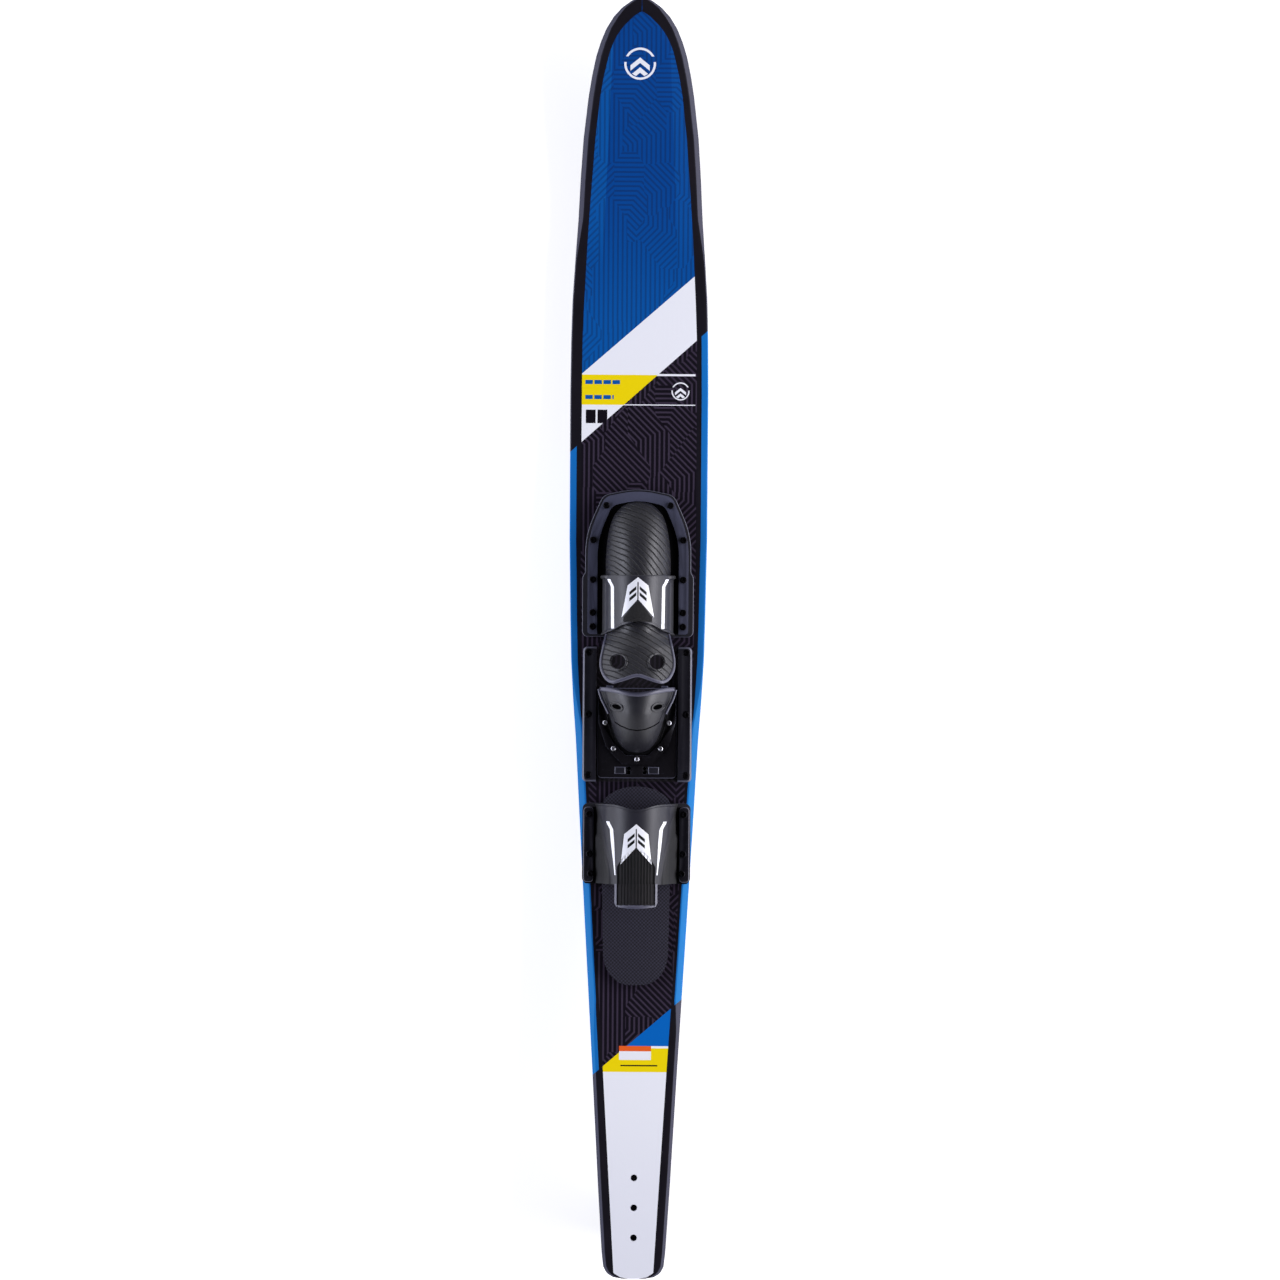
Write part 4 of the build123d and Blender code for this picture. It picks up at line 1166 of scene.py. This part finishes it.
class SkiLook(bpy.types.PropertyGroup):
    """Colours and pattern sizes of the ski and its bindings."""

    panel_blue: colour_setting("Deck blue", "Printed blue ahead of the bindings", rgb(2, 84, 162))
    nose_blue: colour_setting("Nose blue", "Deeper blue at the nose", rgb(0, 66, 142))
    # Painted highlight: the light blue of the rim's sloped bevel.
    lit_edge_blue: colour_setting("Edge blue", "The blue band where it slopes down", rgb(30, 140, 216))
    tail_blue: colour_setting("Tail blue", "Blue triangle behind the bindings", rgb(0, 98, 184))
    rim_blue: colour_setting("Rim blue", "Blue band along the side edges", rgb(8, 110, 190))
    rim_black: colour_setting("Rim black", "Dark rim round the print", rgb(12, 10, 17))
    deck_black: colour_setting("Deck black", "Dark print under the bindings", rgb(13, 8, 19))
    deck_line: colour_setting("Maze line", "Maze lines on the dark print", rgb(56, 48, 64))
    white: colour_setting("White", "White print", rgb(236, 237, 243))
    # Painted shade: the grey that the white print takes towards the tail's end.
    tail_shade_white: colour_setting("Tail white", "White print near the tail", rgb(206, 208, 222))
    yellow: colour_setting("Yellow", "Accent blocks", rgb(240, 214, 4))
    orange: colour_setting("Orange", "Top of the blank sticker", rgb(232, 96, 34))
    base_black: colour_setting("Base black", "Underside of the ski", rgb(12, 12, 16))
    rubber: colour_setting("Rubber", "Moulded rubber", rgb(25, 25, 32))
    # Painted highlight: the lighter grey of the rubber's rims and beads.
    rim_highlight_grey: colour_setting("Rubber rim", "Polished rims and beads of the rubber", rgb(70, 70, 86))
    # Painted shade: near black for the rubber flanges lying in the plates' gaps; also the own dark of the
    # straps' woven insets.
    shade_and_weave_black: colour_setting("Rubber shade", "Rubber flanges in the plates' gaps", rgb(5, 5, 7))
    # Painted shade inside the rubber's grooves; the same dark outlines the straps' badges.
    groove_shade_and_outline: colour_setting("Groove", "Inside the rubber's grooves", rgb(8, 8, 10))
    strap_grey: colour_setting("Strap", "Stiff straps", rgb(32, 32, 41))
    plastic: colour_setting("Plastic", "Moulded plates", rgb(18, 17, 25))
    ring: colour_setting("Ring", "Clamping ring round the toe", rgb(74, 76, 95))
    plastic_worn: colour_setting("Plastic bloom", "Plates where they are rubbed", rgb(29, 28, 40))
    # Light grey of real scuffs, also used for the painted highlight on rounded plastic edges and on the
    # rim's bevel.
    scuff_and_highlight_grey: colour_setting("Scuffs", "Light scuffs in plastic", rgb(100, 101, 120))
    # Foam dark, foam light and pad weave paint the emboss's low parts darker and its high parts lighter, as
    # painted shade and highlight; foam dark is also the own dark of the carriage, the tab and the strap
    # weave.
    foam_dark: colour_setting("Foam dark", "Low parts of the foam soles", rgb(9, 7, 11))
    foam_light: colour_setting("Foam light", "High parts of the foam soles", rgb(34, 29, 39))
    pad_light: colour_setting("Pad weave", "High parts of the rear pad", rgb(52, 51, 66))
    maze_pitch: bpy.props.FloatProperty(name="Maze pitch", default=6.2, min=2.0, max=20.0,
                                        description="Millimetres from line to line of the maze")
    groove_pitch: bpy.props.FloatProperty(name="Groove pitch", default=6.5, min=1.0, max=20.0,
                                          description="Millimetres between rubber grooves")
    edge_round: bpy.props.FloatProperty(name="Edge rounding", default=0.8, min=0.1, max=2.0,
                                        description="Millimetres of rounding on plates")


class SkiStudio(bpy.types.PropertyGroup):
    """Camera and lights."""

    camera_height: bpy.props.FloatProperty(name="Camera distance", description="From the deck to the lens",
                                           default=9.458, unit="LENGTH")
    lens: bpy.props.FloatProperty(name="Lens", description="Focal length", default=200.0, unit="CAMERA")
    camera_roll: bpy.props.FloatProperty(name="Camera roll", description="Turn of the ski in the frame",
                                         default=math.radians(0.398), subtype="ANGLE")
    side_power: bpy.props.FloatProperty(name="Side lights", description="Power of each long side light",
                                        default=88.0, unit="POWER")
    sky: bpy.props.FloatProperty(name="Room light", default=0.75,
                                 description="Strength of the even room light")


# ------------------------------------------------------------------ operators
FIN_BORES = (-794.8, -755.0, -715.2)
PAD_PLAN = [(0.0, -194.2, 8), (24.0, -197.5, 16), (45.5, -212.0, 14), (45.5, -300.0, 20),
            (43.0, -425.0, 16), (36.0, -444.0, 12), (20.0, -458.0, 12), (0.0, -459.0, 4)]
COIL_Y, COIL_Z = -173.3, 6.6                # the middle line of the lock springs
COIL_ENDS = (6.0, 26.0)
SCREW_EDGE = 0.35                           # rounding of the screws' heads


class SKI_OT_body(bpy.types.Operator):
    """Build the deck and base of the ski"""

    bl_idname = "ski.body"
    bl_label = "Ski body"

    def execute(self, context):
        look = context.scene.ski_look
        deck = deck_piece()
        for y in FIN_BORES:
            cut(deck, rod(0.0, y, -1.0, 60, 4.5, 40))
        zones = [deck_print(look), rim_paint(look, "rim_inner", False), rim_paint(look, "rim_outer", True)]
        finish(deck, "deck_top", "ski", "deck_laminate", zones, ["deck_shell", "foam_core"], 24)
        base = base_piece()
        finish(base, "ski_base", "ski", "base_laminate", base_paint(look), ["base_shell"], 24)
        return {"FINISHED"}


class SKI_OT_front_binding(bpy.types.Operator):
    """Build the front boot: toe shell, strap, tongue and sole"""

    bl_idname = "ski.front_binding"
    bl_label = "Front binding"

    def execute(self, context):
        look = context.scene.ski_look
        toe = rubber(look, "toe_rubber", (-58.0, 40.0))
        shade = rubber(look, "shaded_rubber", tone=look.shade_and_weave_black, shine=0.12)
        # Painted highlight on the tongue's rim bead.
        rim = rubber(look, "rim_rubber", tone=look.rim_highlight_grey)
        finish(toe_piece(), "toe_shell_rubber", "ski", "shell_rubber", [toe, shade], ["toe_shell"], 40)
        finish(strap_piece(), "instep_strap_moulded", "ski", "strap_plastic",
               strap_paint(look, "strap_front", True), ["instep_strap"], 40)
        skin = rubber(look, "tongue_skin", (-70.0, -150.0))
        finish(tongue_piece(), "tongue_rubber", None, "shell_rubber", [skin, rim],
               ["instep_tongue"], 40, ("ski", "tongue", (0, 3, 88), (0, -22, 100)))
        bed = foam_bed("front_sole", rounded(both_sides([(36, -8), (36, 120), (30, 150), (14, 168)]), 9.0),
                       4.0, 9.0)
        finish(bed, "front_sole", "ski", "footbed_foam", foam_paint(look, "sole_foam", False),
               ["front_footbed"], 40)
        return {"FINISHED"}


class SKI_OT_heel_binding(bpy.types.Operator):
    """Build the sliding heel: cup, flap and sole"""

    bl_idname = "ski.heel_binding"
    bl_label = "Heel binding"

    def execute(self, context):
        look = context.scene.ski_look
        finish(cup_piece(), "heel_cup_rubber", "carriage", "shell_rubber",
               [rubber(look, "cup_skin"), rubber(look, "cup_shade", tone=look.shade_and_weave_black, shine=0.12)],
               ["heel_cup"], 40)
        # Painted highlight on the flap's front and side rims.
        flap = [rubber(look, "flap_skin"), rubber(look, "flap_rim", tone=look.rim_highlight_grey)]
        finish(flap_piece(), "heel_flap_rubber", None, "shell_rubber", flap,
               ["heel_flap"], 40, ("carriage", "flap", (0, -119.4, 63), (0, -112, 68)))
        bed = foam_bed("heel_sole", rounded(both_sides([(34, -66), (31, -94), (25, -118), (9, -136)]), 7.0),
                       12.0, 16.0)
        finish(bed, "heel_sole", "carriage", "footbed_foam", foam_paint(look, "heel_foam", False),
               ["heel_footbed"], 40)
        return {"FINISHED"}


class SKI_OT_rear_binding(bpy.types.Operator):
    """Build the rear toe plate: strap, tab and foot pad"""

    bl_idname = "ski.rear_binding"
    bl_label = "Rear binding"

    def execute(self, context):
        look = context.scene.ski_look
        finish(rear_strap_piece(), "rear_strap_moulded", "ski", "strap_plastic",
               [strap_paint(look, "strap_rear", False),
                rubber(look, "wing_shade", tone=look.shade_and_weave_black, shine=0.12)], ["rear_strap"], 40)
        # Painted highlight on the tab's rim, its second material.
        tab = [rubber(look, "tab_skin", tone=look.foam_dark, rough=0.75, shine=0.3),
               rubber(look, "tab_rim", tone=look.rim_highlight_grey)]
        finish(rear_tab_piece(), "rear_tab_rubber", "ski", "shell_rubber", tab, ["rear_tab"], 50)
        pad = foam_bed("rear_pad", rounded(both_sides(PAD_PLAN), 10.0), 3.05, 8.0, edge=1.8)
        finish(pad, "rear_pad", "ski", "pad_foam", foam_paint(look, "pad_weave", True),
               ["rear_foot_pad"], 40)
        return {"FINISHED"}


class SKI_OT_hardware(bpy.types.Operator):
    """Round the edges of the plates, rails and rings, and paint every carried part"""

    bl_idname = "ski.hardware"
    bl_label = "Plates and hardware"

    def execute(self, context):
        look = context.scene.ski_look
        edge = look.edge_round
        plate = plastic(look, "plate_plastic_skin", look.plastic, 0.42)
        ring = plastic(look, "ring_plastic_skin", look.ring, 0.34)
        bar = plastic(look, "rail_plastic_skin", look.plastic, 0.36)
        dark = foam_paint(look, "track_plastic_skin", False)
        slide = plastic(look, "carriage_plastic_skin", look.foam_dark, 0.42, scuff=0.05, shine=0.2)
        button = plastic(look, "button_skin", look.rubber, 0.34)
        black = metal("black_screw_skin", rgb(30, 29, 33), 0.34)
        bright = metal("bright_screw_skin", rgb(214, 214, 222), 0.24)
        brass = metal("brass_skin", rgb(190, 150, 84), 0.3)
        steel = metal("spring_skin", rgb(176, 178, 184), 0.22)
        rounded_parts = [
            ("track_plate", "ski", "track_plastic", dark, edge * 0.5),
            ("left_rail", "ski", "rail_plastic", bar, edge),
            ("right_rail", "ski", "rail_plastic", bar, edge),
            ("rear_base_plate", "ski", "plate_plastic", plate, edge),
            ("left_rear_clamp", "ski", "clamp_plastic", bar, edge),
            ("right_rear_clamp", "ski", "clamp_plastic", bar, edge),
            ("heel_carriage", "carriage", "plate_plastic", slide, edge * 0.6),
            ("heel_clamp", "carriage", "plate_plastic", slide, edge * 1.6),
            ("left_lock", "left_lock", "button_plastic", button, 0.4),
            ("right_lock", "right_lock", "button_plastic", button, 0.4),
            ("carriage_bumpers", "carriage", "bumper_plastic", ring, 0.5),
            ("fin", "ski", "fin_plastic", plate, 0.7),
            ("rack_strips", "ski", "track_plastic", dark, 0.3),
        ]
        rounded_parts += [(node + "_screws", "ski", "black_screw", black, SCREW_EDGE)
                          for node in ("front_clamp", "rail", "rear_clamp", "fin")]
        rounded_parts += [("heel_screws", "carriage", "bright_screw", bright, SCREW_EDGE)]
        base = slab("front_plate", rounded(both_sides(PLATE_PLAN), 4.0, 10), 0.05, 4.0, 1.0)
        finish(base, "front_plate_moulded", "ski", "plate_plastic", plate, ["front_base_plate"], 35)
        finish(ring_piece(), "horseshoe_ring", "ski", "clamp_plastic", ring, ["horseshoe_clamp"], 35)
        for node, body, slot, paint, width in rounded_parts:
            finish(refined(node, width), node + "_finished", body, slot, paint, [node], 35)
        for side, lock in ((-1, "left_lock"), (1, "right_lock")):
            coil = from_cad(lock + "_spring")
            finish(coil, lock + "_coil", None, "spring_steel", steel, [lock + "_spring"], 60,
                   ("carriage", lock, *((side * x, COIL_Y, COIL_Z) for x in COIL_ENDS)))
        for node, paint in {"fin_nuts": brass, "front_inserts": brass, "rail_inserts": brass,
                            "rear_inserts": brass}.items():
            shown = frame["nodes"][node]
            shown.data.materials.clear()
            shown.data.materials.append(paint)
        return {"FINISHED"}


def room_light(tree, strength):
    """An even room that is dark straight above and light towards the horizon."""
    place = tree.nodes.new("ShaderNodeTexCoord")
    split = tree.nodes.new("ShaderNodeSeparateXYZ")
    ramp = tree.nodes.new("ShaderNodeValToRGB")
    tree.links.new(place.outputs["Generated"], split.inputs[0])
    tree.links.new(split.outputs["Z"], ramp.inputs[0])
    tree.links.new(ramp.outputs[0], tree.nodes["Background"].inputs[0])
    tree.nodes["Background"].inputs[1].default_value = strength
    stops = [(0.0, 1.0), (0.3, 0.8), (0.55, 0.3), (0.8, 0.05), (0.95, 0.012)]
    while len(ramp.color_ramp.elements) < len(stops):
        ramp.color_ramp.elements.new(1.0)
    for element, (position, level) in zip(ramp.color_ramp.elements, stops):
        element.position = position
        element.color = (level, level, level, 1)


class SKI_OT_studio(bpy.types.Operator):
    """Set the floor, the lights and the camera"""

    bl_idname = "ski.studio"
    bl_label = "Studio"

    def execute(self, context):
        studio = context.scene.ski_studio
        select_only()
        bpy.ops.mesh.primitive_plane_add(size=14.0, location=(0, 0, 0))
        floor = bpy.context.object
        floor.name = "studio_floor"
        p = Paint("studio_floor")
        pale = p.mix(p.noise(400.0) * 0.02, (0.94, 0.94, 0.94, 1), (0.9, 0.9, 0.9, 1))
        floor.data.materials.append(p.done(pale, 0.9, glow=0.52, specular=0.0))
        world = bpy.data.worlds.new("studio_room")
        world.use_nodes = True
        room_light(world.node_tree, studio.sky)
        context.scene.world = world
        turn = SKI.to_3x3().normalized()
        deck = SKI @ Vector((3.1, 0.0, 0.0))
        lights = [("left_strip", (-2.2, 0.0, 0.88), (1.0, 3.6), studio.side_power * 0.84, (0.84, 0.86, 1.0)),
                  ("right_strip", (2.2, 0.0, 0.88), (1.0, 3.6), studio.side_power * 1.2, (0.95, 0.94, 1.0))]
        for name, place, size, power, tint in lights:
            data = bpy.data.lights.new(name, "AREA")
            data.shape = "RECTANGLE"
            data.size, data.size_y = size
            data.energy = power
            data.color = tint
            lamp = bpy.data.objects.new(name, data)
            context.scene.collection.objects.link(lamp)
            lamp.location = place
            lamp.rotation_euler = (0.0, math.atan2(place[0], place[2]), 0.0)
        data = bpy.data.cameras.new("studio_camera")
        data.lens = studio.lens
        data.sensor_width = 36.0
        data.clip_end = 100.0
        camera = bpy.data.objects.new("studio_camera", data)
        context.scene.collection.objects.link(camera)
        rotation = turn @ Matrix.Rotation(studio.camera_roll, 3, "Z")
        camera.matrix_world = Matrix.Translation(deck + turn @ Vector((0, 0, studio.camera_height))) \
            @ rotation.to_4x4()
        context.scene.camera = camera
        context.scene.view_settings.view_transform = "Standard"
        return {"FINISHED"}


class SKI_PT_panel(bpy.types.Panel):
    """Lists the ski's settings and steps"""

    bl_label = "Combo Slalom Ski"
    bl_idname = "SKI_PT_panel"
    bl_space_type = "VIEW_3D"
    bl_region_type = "UI"
    bl_category = "Ski"

    def draw(self, context):
        for group in (context.scene.ski_look, context.scene.ski_studio):
            column = self.layout.column()
            for name in group.__annotations__:
                column.prop(group, name)
        for step in STEPS:
            self.layout.operator(step.bl_idname)


STEPS = (SKI_OT_body, SKI_OT_front_binding, SKI_OT_heel_binding, SKI_OT_rear_binding, SKI_OT_hardware,
         SKI_OT_studio)
CLASSES = (SkiLook, SkiStudio, *STEPS, SKI_PT_panel)


def register():
    for each in CLASSES:
        bpy.utils.register_class(each)
    bpy.types.Scene.ski_look = bpy.props.PointerProperty(type=SkiLook)
    bpy.types.Scene.ski_studio = bpy.props.PointerProperty(type=SkiStudio)


def unregister():
    del bpy.types.Scene.ski_look
    del bpy.types.Scene.ski_studio
    for each in reversed(CLASSES):
        bpy.utils.unregister_class(each)


def main():
    register()
    bpy.ops.ski.body()
    bpy.ops.ski.front_binding()
    bpy.ops.ski.heel_binding()
    bpy.ops.ski.rear_binding()
    bpy.ops.ski.hardware()
    bpy.ops.ski.studio()


if __name__ == "__main__":
    main()
